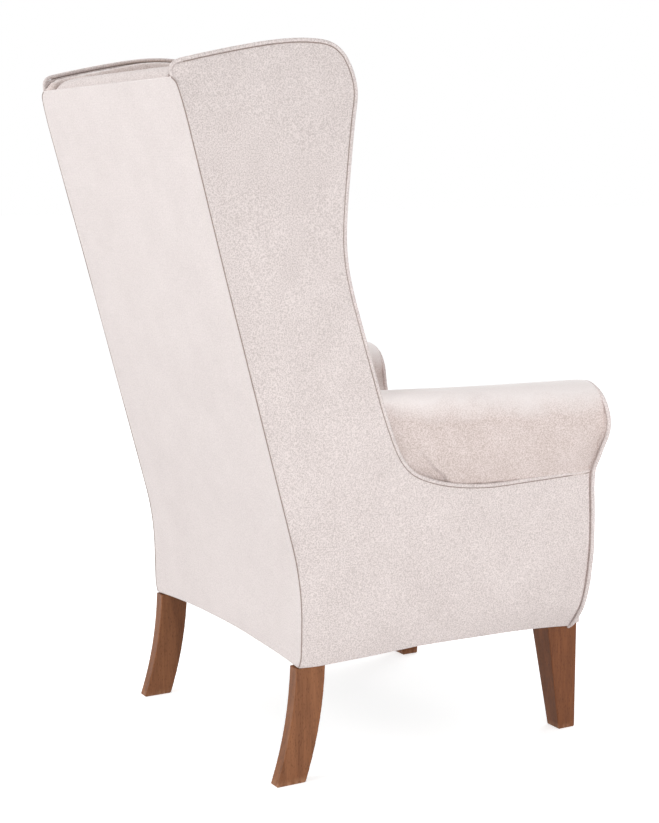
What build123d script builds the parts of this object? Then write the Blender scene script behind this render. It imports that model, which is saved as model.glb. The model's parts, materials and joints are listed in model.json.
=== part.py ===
from build123d import *
import os
from math import atan, cos, radians, sin, sqrt, tan

# Wingback chair: a beech frame with a sprung seat, padded and covered in fabric, and a loose cushion.
# Millimetres, +Z up, the sitter faces -Y, origin on the floor below the middle of the chair's box.

# Overall sizes
overall_depth = 760.0
wing_height = 1160.0
wing_rise = 60.0
back_height = wing_height - wing_rise
arm_height = 620.0
seat_height = 470.0
skirt_height = 190.0

# Fits
soft_gap = 0.3
glue_gap = 0.1
lift_gap = 1.5

# Back line: upright at the foot, then one bend, then straight up to the top edge
rake_angle = radians(14.7)
rake_start = 268.0
rake_radius = 476.0

# Legs and seat frame
rear_leg_outer = 272.5
rear_leg_thickness = 24.0
rear_leg_depth = 52.0
saber_step = 8.3
saber_gap = 1.0
saber_sweep = 36.0
saber_middle = 10.5
shoulder_drop = 60.0
shoulder_width = 14.0
front_leg_outer = 271.7
front_leg_top = 50.0
front_leg_depth = 62.0
front_leg_foot = 34.0
foot_chamfer = 1.5
leg_round = 2.0
rail_thickness = 25.0
rail_height = 90.0
rail_lift = 10.0
block_height = 50.0
block_reach = 62.0
block_width = 40.0
block_start = 8.0
block_lift = 6.0

# Fasteners
dowel_radius = 5.0
dowel_length = 40.0
dowel_spacing = 34.0
bolt_radius = 4.0
bolt_clearance = 0.3
bolt_length = 75.0
nut_flats = 13.0
nut_height = 6.5
washer_radius = 12.0
washer_height = 2.0
screw_radius = 2.5
screw_length = 45.0
screw_head_radius = 5.0
screw_head_height = 3.0
screw_sink = 14.0
screw_heights = (0.3, 0.68)

# Arms: the front faces lean back a little, and each ends in a round scroll
face_setback = 30.5
face_lean = 0.07
scroll_centre_x = 347.0
scroll_radius = 54.0
arm_rail_top = 460.0
arm_rail_height = 25.0
arm_rail_width = 36.0
arm_post_thickness = 25.0
arm_lining = 12.0
arm_inner = 262.0
facing_thickness = 8.0
scroll_throat = (8.0, 32.0)
lining_rear_gap = 14.0

# Wings and back padding
wing_board_inner = 248.5
wing_pad_inner = 226.3
wing_board_trim = 8.0
wing_pad_trim = 6.0
wing_pad_crown = 6.0
back_pad_crown = 14.0
back_rail_height = 60.0
post_top_drop = 15.0
top_rail_drop = 8.0
lumbar_rise = 60.0
strip_drop = 2.0
strip_lap = 10.0
strip_crown = 13.0
wing_heel = 17.0
webbing_width = 50.0
webbing_thickness = 2.0
webbing_bands = 6
webbing_foot = 40.0
webbing_head = 50.0

# Covers
panel_thickness = 6.0
border_thickness = 5.0
border_return = 3.0
border_drop = 2.0
front_drop = 4.0
back_arch = 11.0
dust_cover_thickness = 1.0

# Seat
spring_wire = 3.6
spring_count = 5
spring_runs = 15
spring_width = 60.0
clip_length = 20.0
clip_depth = 16.0
clip_height = 7.6
deck_thickness = 37.0
cushion_crown = 16.0
cushion_draw = 5.0
cushion_front_lap = 3.0

# Lines that the pieces share
front_y = -overall_depth / 2
rail_bottom = skirt_height + rail_lift
rail_top = rail_bottom + rail_height
front_leg_face = front_y + border_thickness + soft_gap
front_leg_back = front_leg_face + front_leg_depth
post_inset = panel_thickness + soft_gap
post_front_inset = post_inset + rear_leg_depth
post_inner = rear_leg_outer - rear_leg_thickness
post_top = back_height - post_top_drop
deck_bottom = rail_top + clip_height + soft_gap
deck_top = deck_bottom + deck_thickness
scroll_centre_z = arm_height - scroll_radius
wing_clearance = 4.0
wing_bottom = arm_height + wing_clearance
rear_cover = rear_leg_outer + soft_gap + panel_thickness
front_cover = front_leg_outer + soft_gap + panel_thickness
loft_overrun = 20.0
cover_slack = 1.0
lining_back = arm_inner + arm_lining + soft_gap
bend_rise = rake_radius * sin(rake_angle)
top_run = back_height - rake_start - bend_rise
back_foot_y = overall_depth / 2 - rake_radius * (1 - cos(rake_angle)) - top_run * tan(rake_angle)

# How far the covers swell beyond the legs: height, at the rear corner, at the arm's front
upper_span = back_height - arm_height
side_swell = [
    (skirt_height - 10, 0.0, -2.0),
    (skirt_height + 4, 2.0, 9.0),
    (skirt_height + 40, 4.5, 37.0),
    (skirt_height + 100, 5.5, 59.0),
    (skirt_height + 160, 5.5, 71.0),
    (arm_rail_top, 5.5, 77.0),
    (arm_height - 20, 5.5, 68.0),
    (arm_height + upper_span / 6, 5.5, 42.0),
    (arm_height + upper_span * 3 / 8, 5.5, 23.0),
    (arm_height + upper_span * 19 / 24, 6.0, 7.0),
    (back_height - 10, -3.0, -3.0),
    (wing_height + 10, -19.0, -9.0),
]

# The wing's edge from its top down to its root: share of that drop, depth in front of the back line
wing_root_rise = 121.0
wing_drop = wing_height - arm_rail_top - wing_root_rise
wing_edge = [
    (0.0086, 172.4),
    (0.0000, 230.7),
    (0.0069, 279.7),
    (0.0466, 301.7),
    (0.1209, 302.4),
    (0.1934, 285.9),
    (0.3195, 257.2),
    (0.4404, 231.8),
    (0.5838, 212.6),
    (0.7306, 208.8),
    (1.0000, 207.2),
]

# The neck below the wing's root, along the arm rail: steps forward of the root, rises above the rail
neck_bend = (27.0, 58.0)
neck_heel = (75.0, 22.0)
neck_low = (180.0, 5.0)
neck_front_rise = 16.0

# Inside back: height, thickness in front of the posts, half width
wing_inner_gap = wing_pad_inner - soft_gap
arm_inner_gap = arm_inner - soft_gap
back_pad_slices = [
    (deck_top + soft_gap, 45.0, arm_inner_gap),
    (rake_start + bend_rise, 55.0, arm_inner_gap),
    (seat_height, 68.0, arm_inner_gap),
    (seat_height + 90, 84.0, arm_inner_gap),
    (arm_height - 20, 83.0, arm_inner_gap),
    (arm_height + 2, 82.0, wing_inner_gap),
    (arm_height + upper_span * 3 / 8, 74.0, wing_inner_gap),
    (arm_height + upper_span * 19 / 24, 66.0, wing_inner_gap),
    (back_height - 24, 54.0, wing_inner_gap),
    (back_height - 2, 34.0, wing_inner_gap),
]


def back_slope(height, inset=0.0):
    """Angle of the back line from upright at a height, moved in by inset."""
    rise = min(max(height - rake_start, 0.0), (rake_radius + inset) * sin(rake_angle))
    return atan(rise / sqrt((rake_radius + inset) ** 2 - rise**2))


def back_point(height, inset=0.0):
    """Point (y, z) of the back line at a height, moved in by inset."""
    radius = rake_radius + inset
    slope = back_slope(height, inset)
    bend_y = back_foot_y + rake_radius - radius * cos(slope)
    straight = max(height - rake_start - radius * sin(rake_angle), 0.0)
    return (bend_y + straight * tan(rake_angle), height)


def back_plane(height, inset=0.0):
    """Plane that lies on the back line at a height, facing the sitter."""
    y, z = back_point(height, inset)
    slope = back_slope(height, inset)
    return Plane(origin=(0, y, z), x_dir=(1, 0, 0), z_dir=(0, -cos(slope), sin(slope)))


def back_edges(inset, low, high):
    """Draw the back line between two heights, moved in by inset."""
    radius = rake_radius + inset
    bend_middle = rake_start + radius * sin(rake_angle / 2)
    bend_end = rake_start + radius * sin(rake_angle)
    Line(back_point(low, inset), back_point(rake_start, inset))
    ThreePointArc(*[back_point(height, inset) for height in (rake_start, bend_middle, bend_end)])
    Line(back_point(bend_end, inset), back_point(high, inset))


def face_y(height):
    """Depth of the arm fronts' leaning plane at a height."""
    return front_y + face_setback + face_lean * (height - skirt_height)


def swell_line(section, inset=0.0):
    """Outer face of the side cover at one section: rear point and front point in plan."""
    height, rear_swell, front_swell = section
    rear = (rear_cover + rear_swell - inset, back_point(height, post_inset)[0])
    front = (front_cover + front_swell - inset, face_y(height) - loft_overrun)
    return rear, front


def side_x(y, section, inset=0.0):
    """Distance of the side cover's outer face from the middle plane at a depth, moved in by inset."""
    rear, front = swell_line(section, inset)
    return rear[0] + (front[0] - rear[0]) * (rear[1] - y) / (rear[1] - front[1])


def wing_line(trim=0.0):
    """Points (y, z) of the wing's edge from the rear of its top to its root, moved in by a trim."""
    line = []
    for share, depth in wing_edge:
        height = wing_height - share * wing_drop
        line.append(Vector(back_point(height)[0] - depth, height))
    moved = []
    for place, point in enumerate(line):
        along = line[min(place + 1, len(line) - 1)] - line[max(place - 1, 0)]
        inward = Vector(-along.Y, along.X).normalized()
        moved.append((point.X + trim * inward.X, point.Y + trim * inward.Y))
    return moved


def wing_edges(heel, trim=0.0):
    """Draw the wing's edge from its heel, a height above the back's top, to the arm."""
    line = wing_line(trim)
    Line((overall_depth / 2 + loft_overrun, back_height + heel - trim), line[0])
    for place in range(0, len(line) - 2, 2):
        ThreePointArc(*line[place : place + 3])


def wing_outline(heel, trim):
    """Draw the whole wing seen from the side, trimmed along its edge."""
    wing_edges(heel, trim)
    root = wing_line(trim)[-1]
    Polyline(
        root,
        (overall_depth, root[1]),
        (overall_depth, back_height + heel - trim),
        (overall_depth / 2 + loft_overrun, back_height + heel - trim),
    )


def save(piece, name):
    """Label a finished piece and write it."""
    piece.part.label = name
    export_step(piece.part, f"parts/{name}.step")


def save_pair(piece, name):
    """Write a left piece and its mirror image."""
    save(piece, f"{name}_left")
    with BuildPart() as mirrored:
        mirror(piece.part, about=Plane.YZ)
    save(mirrored, f"{name}_right")


os.makedirs("parts", exist_ok=True)
face_plane = Plane(origin=(0, face_y(0), 0), x_dir=(1, 0, 0), z_dir=(0, -1, face_lean))
arm_sections = [section for section in side_swell if skirt_height <= section[0] <= arm_rail_top]
wing_end = wing_line()[-1]
lining_y = back_point(deck_top, post_front_inset)[0] - lining_rear_gap

# Places of the dowels, shared by the holes and the dowels themselves
rail_middle = rail_bottom + rail_height / 2
rear_rail_front = back_point(rail_top, post_front_inset)[0] + soft_gap
rear_rail_y = rear_rail_front + rail_thickness / 2
front_rail_y = front_leg_face + rail_thickness / 2
side_rail_x = post_inner + rear_leg_thickness / 2
front_leg_inner = front_leg_outer - front_leg_top
dowel_places = []
for end in (-1, 1):
    for step in (-0.5, 0.5):
        cross_z = rail_middle + step * dowel_spacing
        along_z = cross_z + dowel_spacing / 2
        rear_post_y = back_point(along_z, post_front_inset)[0]
        dowel_places.append(Location((end * front_leg_inner, front_rail_y, cross_z), (0, 90, 0)))
        dowel_places.append(Location((end * post_inner, rear_rail_y, cross_z), (0, 90, 0)))
        dowel_places.append(Location((end * side_rail_x, front_leg_back, along_z), (90, 0, 0)))
        dowel_places.append(Location((end * side_rail_x, rear_post_y, along_z), (90, 0, 0)))

# Places of the front leg bolts, through the corner blocks at 45 degrees
bolt_z = rail_middle + block_lift
bolt_reach = front_leg_top / 2
bolt_places = []
for end in (-1, 1):
    leg_corner = (end * front_leg_inner, front_leg_back, bolt_z)
    bolt_places.append(Plane(origin=leg_corner, z_dir=(-end, 1, 0)))

# Places of the screws that hold the arm posts to the front legs
screw_places = []
for end in (-1, 1):
    for step in screw_heights:
        screw_z = rail_bottom + step * rail_height
        screw_y = face_y(screw_z) + arm_post_thickness / 2 + cover_slack
        screw_places.append(Plane(origin=(end * front_leg_outer, screw_y, screw_z), z_dir=(end, 0, 0)))


# Rear leg and back post in one plank, sabre-shaped below the seat
def saber_edge(inset):
    """Draw one edge of the rear leg below the cover, from the foot up."""
    top_y = back_point(skirt_height, inset)[0] + saber_step
    top_z = skirt_height - saber_gap
    ThreePointArc((top_y + saber_sweep, 0), (top_y + saber_middle, top_z / 2), (top_y, top_z))
    Line((top_y, top_z), (top_y - saber_step, top_z))


with BuildPart() as rear_leg_post:
    with BuildSketch(Plane.YZ.offset(post_inner)):
        with BuildLine():
            for inset in (post_inset, post_front_inset):
                saber_edge(inset)
                back_edges(inset, skirt_height - saber_gap, post_top)
            foot_rear = back_point(skirt_height, post_inset)[0] + saber_step + saber_sweep
            foot_front = back_point(skirt_height, post_front_inset)[0] + saber_step + saber_sweep
            Line((foot_rear, 0), (foot_front, 0))
            Line(back_point(post_top, post_inset), back_point(post_top, post_front_inset))
        make_face()
    extrude(amount=rear_leg_thickness)
    long_edges = [edge for edge in rear_leg_post.edges() if edge.bounding_box().size.Z > foot_chamfer]
    fillet(long_edges, leg_round)
    with BuildSketch(Plane.XZ):
        with BuildLine():
            Polyline(
                (rear_leg_outer, post_top - shoulder_drop),
                (rear_leg_outer - shoulder_width, post_top),
                (rear_leg_outer, post_top),
                close=True,
            )
        make_face()
    extrude(amount=overall_depth, both=True, mode=Mode.SUBTRACT)
    chamfer(rear_leg_post.faces().sort_by(Axis.Z)[0].edges(), foot_chamfer)
    with Locations(*dowel_places):
        Cylinder(dowel_radius, dowel_length, mode=Mode.SUBTRACT)
save_pair(rear_leg_post, "rear_leg_post")

# Front leg: outer and front faces upright, the other two taper to the foot
with BuildPart() as front_leg:
    for height, width, depth in (
        (0, front_leg_foot, front_leg_foot),
        (skirt_height, front_leg_top, front_leg_depth),
        (rail_top, front_leg_top, front_leg_depth),
    ):
        with BuildSketch(Plane.XY.offset(height)):
            with Locations((front_leg_outer - width / 2, front_leg_face + depth / 2)):
                RectangleRounded(width, depth, leg_round)
    loft(ruled=True)
    chamfer(front_leg.faces().sort_by(Axis.Z)[0].edges(), foot_chamfer)
    with Locations(*dowel_places):
        Cylinder(dowel_radius, dowel_length, mode=Mode.SUBTRACT)
    with Locations(*bolt_places):
        Cylinder(bolt_radius, 2 * bolt_reach, mode=Mode.SUBTRACT)
    with Locations(*screw_places):
        Cylinder(screw_radius, 2 * (screw_length - screw_sink), mode=Mode.SUBTRACT)
save_pair(front_leg, "front_leg")

# Seat rails
front_rail_length = 2 * front_leg_inner
with BuildPart() as front_seat_rail:
    with Locations((0, front_rail_y, rail_middle)):
        Box(front_rail_length, rail_thickness, rail_height)
    with Locations(*dowel_places):
        Cylinder(dowel_radius, dowel_length, mode=Mode.SUBTRACT)
save(front_seat_rail, "front_seat_rail")

with BuildPart() as rear_seat_rail:
    with Locations((0, rear_rail_y, rail_middle)):
        Box(2 * post_inner, rail_thickness, rail_height)
    with Locations(*dowel_places):
        Cylinder(dowel_radius, dowel_length, mode=Mode.SUBTRACT)
save(rear_seat_rail, "rear_seat_rail")

with BuildPart() as side_seat_rail:
    with BuildSketch(Plane.YZ.offset(post_inner)):
        with BuildLine():
            rail_rear = back_point(rail_bottom, post_front_inset)[0]
            Polyline(
                (rail_rear, rail_bottom),
                (front_leg_back, rail_bottom),
                (front_leg_back, rail_top),
                (rail_rear, rail_top),
                close=True,
            )
        make_face()
    extrude(amount=rear_leg_thickness)
    with Locations(*dowel_places):
        Cylinder(dowel_radius, dowel_length, mode=Mode.SUBTRACT)
save_pair(side_seat_rail, "side_seat_rail")

with BuildPart() as rail_dowels:
    with Locations(*dowel_places):
        Cylinder(dowel_radius, dowel_length)
save(rail_dowels, "rail_dowels")

# Corner blocks: braces across the front corners, triangles glued into the rear ones
front_rail_back = front_leg_face + rail_thickness
block_x = front_leg_inner - (front_leg_back - front_rail_back) - block_start
block_y = front_leg_back + post_inner - front_leg_inner + block_start
with BuildPart() as corner_blocks:
    with BuildSketch(Plane.XY.offset(rail_middle - block_height / 2 + block_lift)):
        for end in (-1, 1):
            with BuildLine():
                Polyline(
                    (end * block_x, front_rail_back),
                    (end * (block_x - block_width), front_rail_back),
                    (end * post_inner, block_y + block_width),
                    (end * post_inner, block_y),
                    close=True,
                )
            make_face()
            with BuildLine():
                Polyline(
                    (end * post_inner, rear_rail_front),
                    (end * (post_inner - block_reach), rear_rail_front),
                    (end * post_inner, rear_rail_front - block_reach),
                    close=True,
                )
            make_face()
    extrude(amount=block_height)
    with Locations(*bolt_places):
        Cylinder(bolt_radius + bolt_clearance, 2 * bolt_length, mode=Mode.SUBTRACT)
save(corner_blocks, "corner_blocks")

# Front leg bolts with their washers and nuts
with BuildPart() as leg_bolts:
    for place in bolt_places:
        with BuildSketch(place.offset(-bolt_reach)):
            Circle(bolt_radius)
        extrude(amount=bolt_length)
save(leg_bolts, "leg_bolts")

block_back = (block_start + block_width) / sqrt(2)
with BuildPart() as leg_bolt_nuts:
    for place in bolt_places:
        with BuildSketch(place.offset(block_back)):
            Circle(washer_radius)
            Circle(bolt_radius, mode=Mode.SUBTRACT)
        extrude(amount=washer_height)
        with BuildSketch(place.offset(block_back + washer_height)):
            RegularPolygon(nut_flats / 2, 6, major_radius=False)
            Circle(bolt_radius, mode=Mode.SUBTRACT)
        extrude(amount=nut_height)
save(leg_bolt_nuts, "leg_bolt_nuts")

# Arm post: a shaped board screwed to the front leg, which carries the arm rail
arm_post_plane = face_plane.offset(-glue_gap)
arm_rail_bottom = arm_rail_top - arm_rail_height
post_line = []
for section in arm_sections:
    post_back_y = face_y(section[0]) + arm_post_thickness
    post_line.append((side_x(post_back_y, section, post_inset + cover_slack), section[0]))
post_line = [point for point in post_line if rail_bottom < point[1] < arm_rail_bottom]
lean_scale = sqrt(1 + face_lean**2)
with BuildPart() as arm_post:
    with BuildSketch(arm_post_plane):
        with BuildLine():
            Polyline(
                (front_leg_outer, rail_bottom),
                *post_line,
                (post_line[-1][0], arm_rail_bottom * lean_scale),
                (post_line[-1][0] - arm_rail_width, arm_rail_bottom * lean_scale),
                (lining_back, rail_top + clip_height),
                (front_leg_outer, rail_top),
                close=True,
            )
        make_face()
    extrude(amount=-arm_post_thickness)
    split(bisect_by=Plane.XY.offset(arm_rail_bottom), keep=Keep.BOTTOM)
    with Locations(*screw_places):
        Cylinder(screw_radius, 2 * screw_sink, mode=Mode.SUBTRACT)
    for place in screw_places:
        with BuildSketch(place.offset(screw_sink)):
            Circle(screw_head_radius)
        extrude(amount=block_reach, mode=Mode.SUBTRACT)
save_pair(arm_post, "arm_post")

with BuildPart() as arm_post_screws:
    for place in screw_places:
        with BuildSketch(place.offset(screw_sink - screw_length)):
            Circle(screw_radius)
        extrude(amount=screw_length)
        with BuildSketch(place.offset(screw_sink)):
            Circle(screw_head_radius)
        extrude(amount=screw_head_height)
save(arm_post_screws, "arm_post_screws")

# Arm rail: runs from the arm post back to the outer face of the back post
rail_section = arm_sections[-1]
rail_rear_y = back_point(arm_rail_top, post_inset)[0] - rear_leg_depth / 4
rail_front_y = face_y(arm_rail_bottom) + arm_post_thickness / 4
rail_rear_x = side_x(rail_rear_y, rail_section, post_inset + cover_slack)
rail_front_x = side_x(rail_front_y, rail_section, post_inset + cover_slack)
with BuildPart() as arm_rail:
    with BuildSketch(Plane.XY.offset(arm_rail_bottom)):
        with BuildLine():
            Polyline(
                (rear_leg_outer, rail_rear_y),
                (rail_rear_x, rail_rear_y),
                (rail_front_x, rail_front_y),
                (rail_front_x - arm_rail_width, rail_front_y),
                (lining_back, lining_y + soft_gap),
                (rear_leg_outer, back_point(arm_rail_bottom, post_front_inset)[0]),
                close=True,
            )
        make_face()
    extrude(amount=arm_rail_height)
save_pair(arm_rail, "arm_rail")

# Back rails between the posts
with BuildPart() as back_top_rail:
    with BuildSketch(back_plane(post_top - back_rail_height / 2 - top_rail_drop, post_inset)):
        Rectangle(2 * post_inner, back_rail_height)
    extrude(amount=rail_thickness)
save(back_top_rail, "back_top_rail")

with BuildPart() as back_lumbar_rail:
    with BuildSketch(back_plane(seat_height + lumbar_rise, post_inset)):
        Rectangle(2 * post_inner, back_rail_height)
    extrude(amount=rail_thickness)
save(back_lumbar_rail, "back_lumbar_rail")

with BuildPart() as back_lower_rail:
    with BuildSketch(back_plane(deck_top + back_rail_height / 2, post_front_inset - rail_thickness)):
        Rectangle(2 * post_inner, back_rail_height)
    extrude(amount=rail_thickness - cover_slack)
save(back_lower_rail, "back_lower_rail")

# Webbing bands across the fronts of the posts
webbing_low = seat_height + webbing_foot
webbing_step = (post_top - webbing_head - webbing_low) / (webbing_bands - 1)
webbing_heights = [webbing_low + band * webbing_step for band in range(webbing_bands)]
with BuildPart() as back_webbing:
    for height in webbing_heights:
        with BuildSketch(back_plane(height, post_front_inset + glue_gap)):
            Rectangle(2 * (wing_board_inner - soft_gap), webbing_width)
        extrude(amount=webbing_thickness)
save(back_webbing, "back_webbing")
pad_inset = post_front_inset + glue_gap + webbing_thickness + soft_gap

# Zig-zag seat springs and the clips that hold their ends on the rails
spring_z = rail_top + clip_height / 2
spring_front = front_leg_face + rail_thickness / 2
spring_rear = rear_rail_y
spring_pitch = (spring_rear - spring_front) / (spring_runs - 1)
spring_step = 2 * (post_inner - clip_length) / spring_count
spring_places = [(place - (spring_count - 1) / 2) * spring_step for place in range(spring_count)]
with BuildPart() as seat_springs:
    for centre in spring_places:
        zigzag = []
        for run in range(spring_runs):
            side = spring_width / 2 if run % 2 else -spring_width / 2
            run_y = spring_front + run * spring_pitch
            zigzag.append((centre - side, run_y, spring_z))
            zigzag.append((centre + side, run_y, spring_z))
        with BuildLine() as spring_path:
            FilletPolyline(*zigzag, radius=spring_pitch * 0.45)
        with BuildSketch(Plane(origin=zigzag[0], z_dir=(1, 0, 0))):
            Circle(spring_wire / 2)
        sweep(path=spring_path.line)
save(seat_springs, "seat_springs")

with BuildPart() as spring_clips:
    for centre in spring_places:
        for run_y in (spring_front, spring_rear):
            with Locations((centre, run_y, spring_z)):
                Box(clip_length, clip_depth, clip_height)
                Cylinder(spring_wire / 2, clip_length, rotation=(0, 90, 0), mode=Mode.SUBTRACT)
save(spring_clips, "spring_clips")

# Dust cover stretched under the rails
with BuildPart() as dust_cover:
    with BuildSketch(Plane.XY.offset(rail_bottom)):
        with BuildLine():
            Polyline(
                (-post_inner, front_leg_back),
                (post_inner, front_leg_back),
                (post_inner, rear_rail_y),
                (-post_inner, rear_rail_y),
                close=True,
            )
        make_face()
        with Locations((0, (front_leg_face + front_leg_back) / 2)):
            Rectangle(front_rail_length - soft_gap, front_leg_depth)
    extrude(amount=-dust_cover_thickness)
save(dust_cover, "dust_cover")

# Outside back panel, from the skirt to the top edge
corner_line = [(swell_line(section)[0][0], section[0]) for section in side_swell]
mirror_line = [(-x, z) for x, z in corner_line]
with BuildPart() as outside_back:
    with BuildSketch(Plane.YZ):
        with BuildLine():
            back_edges(0, skirt_height, back_height)
            back_edges(panel_thickness, skirt_height, back_height)
            for height in (skirt_height, back_height):
                Line(back_point(height), back_point(height, panel_thickness))
        make_face()
    extrude(amount=2 * rear_leg_outer, both=True)
    with BuildSketch(Plane.XZ):
        with BuildLine():
            Spline(*corner_line)
            Spline(*mirror_line)
            Line(corner_line[-1], mirror_line[-1])
            ThreePointArc(corner_line[0], (0, skirt_height + back_arch), mirror_line[0])
        make_face()
    extrude(amount=overall_depth, both=True, mode=Mode.INTERSECT)
save(outside_back, "outside_back")

# Outside side panel: wing, side and arm front edge in one cover
neck_front = face_y(arm_rail_top + neck_front_rise)
with BuildPart() as outside_side:
    for section in side_swell:
        rear, front = swell_line(section)
        with BuildSketch(Plane.XY.offset(section[0])):
            with BuildLine():
                Polyline(
                    rear,
                    front,
                    (front[0] - panel_thickness, front[1]),
                    (rear[0] - panel_thickness, rear[1]),
                    close=True,
                )
            make_face()
    loft()
    with BuildSketch(Plane.YZ):
        with BuildLine():
            wing_edges(wing_heel)
            ThreePointArc(
                wing_end,
                (wing_end[0] - neck_bend[0], arm_rail_top + neck_bend[1]),
                (wing_end[0] - neck_heel[0], arm_rail_top + neck_heel[1]),
            )
            ThreePointArc(
                (wing_end[0] - neck_heel[0], arm_rail_top + neck_heel[1]),
                (wing_end[0] - neck_low[0], arm_rail_top + neck_low[1]),
                (neck_front, arm_rail_top + neck_front_rise),
            )
            Polyline(
                (neck_front, arm_rail_top + neck_front_rise),
                (face_y(skirt_height - front_drop), skirt_height - front_drop),
                (overall_depth / 2 + loft_overrun, skirt_height),
                (overall_depth / 2 + loft_overrun, back_height + wing_heel),
            )
        make_face()
    extrude(amount=overall_depth, mode=Mode.INTERSECT)
save_pair(outside_side, "outside_side")

# Arm front facing: the scroll-shaped pad on the arm's front
side_line = [(side_x(face_y(section[0]), section), section[0]) for section in arm_sections]


def on_scroll(angle, centre_x, centre_z, radius):
    """Point of the scroll's circle at an angle in degrees from +X."""
    return (centre_x + radius * cos(radians(angle)), centre_z + radius * sin(radians(angle)))


def front_scroll(angle):
    """Point of the arm front's scroll at an angle in degrees from +X."""
    return on_scroll(angle, scroll_centre_x, scroll_centre_z, scroll_radius)


scroll_start = front_scroll(-45)
scroll_end = front_scroll(185)
with BuildPart() as arm_facing:
    with BuildSketch(face_plane.offset(glue_gap)):
        with BuildLine():
            Spline(*side_line)
            throat = (side_line[-1][0] + scroll_throat[0], side_line[-1][1] + scroll_throat[1])
            ThreePointArc(side_line[-1], throat, scroll_start)
            for low, high in ((-45, 75), (75, 185)):
                angles = (low, (low + high) / 2, high)
                ThreePointArc(*[front_scroll(angle) for angle in angles])
            Polyline(
                scroll_end,
                (front_leg_outer + border_return + 2 * soft_gap, seat_height),
                (front_leg_outer + border_return + 2 * soft_gap, side_line[0][1]),
                side_line[0],
            )
        make_face()
    extrude(amount=facing_thickness)
save_pair(arm_facing, "arm_facing")

# Arm pad: the roll on the arm rail and the lining down the inside of the arm.
# Behind the scroll the roll thins and slips behind the wing: depth, radius, bulge past the cover
roll_section = side_swell[6]
roll_tail = [(wing_end[0] - 48, 27.5, 13.5), (wing_end[0] - 8, 18.5, -0.7), (lining_y, 13.9, -1.0)]
roll_floor = arm_rail_top + soft_gap
neck_inset = panel_thickness + cover_slack
neck_step = 8.0
neck_x = side_x(face_y(arm_rail_top), rail_section, neck_inset)
roll_slices = [(face_plane.offset(-soft_gap), neck_x, scroll_radius, scroll_centre_x, lean_scale)]
for slice_y, radius, bulge in roll_tail:
    roll_limit = side_x(slice_y, roll_section, neck_inset)
    slice_plane = Plane(origin=(0, slice_y, 0), x_dir=(1, 0, 0), z_dir=(0, -1, 0))
    roll_slices.append((slice_plane, roll_limit - neck_step, radius, roll_limit + bulge - radius, 1.0))
with BuildPart() as arm_pad:
    for plane, neck_x, radius, centre_x, stretch in roll_slices:
        centre_z = (arm_height - radius) * stretch
        with BuildSketch(plane):
            with BuildLine():
                Polyline(
                    on_scroll(185, centre_x, centre_z, radius),
                    (arm_inner, seat_height * stretch),
                    (arm_inner, deck_bottom * stretch),
                    (arm_inner + arm_lining, deck_bottom * stretch),
                    (arm_inner + arm_lining, roll_floor * stretch),
                    (neck_x, roll_floor * stretch),
                    (neck_x, (roll_floor + neck_front_rise) * stretch),
                    on_scroll(-45, centre_x, centre_z, radius),
                )
                for low, high in ((-45, 75), (75, 185)):
                    angles = (low, (low + high) / 2, high)
                    ThreePointArc(*[on_scroll(angle, centre_x, centre_z, radius) for angle in angles])
            make_face()
    loft(ruled=True)
save_pair(arm_pad, "arm_pad")

# Wing board: a shaped plank on the front edge of the back post
with BuildPart() as wing_board:
    for section in side_swell:
        height = section[0]
        front = swell_line(section, post_inset)[1]
        rear_y = back_point(height, post_front_inset + glue_gap)[0]
        with BuildSketch(Plane.XY.offset(height)):
            with BuildLine():
                Polyline(
                    (wing_board_inner, rear_y),
                    (side_x(rear_y, section, post_inset + cover_slack), rear_y),
                    (front[0] - cover_slack, front[1]),
                    (wing_board_inner, front[1]),
                    close=True,
                )
            make_face()
    loft()
    with BuildSketch(Plane.YZ):
        with BuildLine():
            wing_outline(0, wing_board_trim)
        make_face()
    extrude(amount=overall_depth, mode=Mode.INTERSECT)
    split(bisect_by=Plane.XY.offset(wing_bottom), keep=Keep.TOP)
save_pair(wing_board, "wing_board")

# Inside wing pad, crowned towards the sitter
with BuildPart() as inside_wing:
    with BuildSketch(Plane.YZ.offset(wing_pad_inner)):
        with BuildLine():
            wing_outline(wing_heel, wing_pad_trim)
        make_face()
    extrude(amount=wing_board_inner - soft_gap - wing_pad_inner)
    with BuildSketch(Plane.YZ):
        with BuildLine():
            Polyline(
                back_point(wing_bottom, pad_inset),
                back_point(wing_height, pad_inset),
                (front_y, wing_height),
                (front_y, wing_bottom),
                close=True,
            )
        make_face()
    extrude(amount=overall_depth, mode=Mode.INTERSECT)
    with BuildSketch(Plane.XY):
        with BuildLine():
            ThreePointArc(
                (wing_pad_inner + wing_pad_crown, wing_end[0]),
                (wing_pad_inner, (wing_end[0] + overall_depth / 2) / 2),
                (wing_pad_inner + wing_pad_crown, overall_depth / 2),
            )
            Polyline(
                (wing_pad_inner + wing_pad_crown, wing_end[0]),
                (wing_board_inner, wing_end[0]),
                (wing_board_inner, overall_depth / 2),
                (wing_pad_inner + wing_pad_crown, overall_depth / 2),
            )
        make_face()
    extrude(amount=2 * wing_height, mode=Mode.INTERSECT)
save_pair(inside_wing, "inside_wing")

# Inside back pad with its lumbar swell
with BuildPart() as inside_back:
    for height, thickness, half_width in back_pad_slices:
        rear_y = back_point(height, pad_inset)[0]
        edge_y = back_point(height, pad_inset + thickness - back_pad_crown)[0]
        crown_y = back_point(height, pad_inset + thickness)[0]
        with BuildSketch(Plane.XY.offset(height)):
            with BuildLine():
                Polyline(
                    (-half_width, edge_y),
                    (-half_width, rear_y),
                    (half_width, rear_y),
                    (half_width, edge_y),
                )
                ThreePointArc((-half_width, edge_y), (0, crown_y), (half_width, edge_y))
            make_face()
    loft(ruled=True)
save(inside_back, "inside_back")

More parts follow.
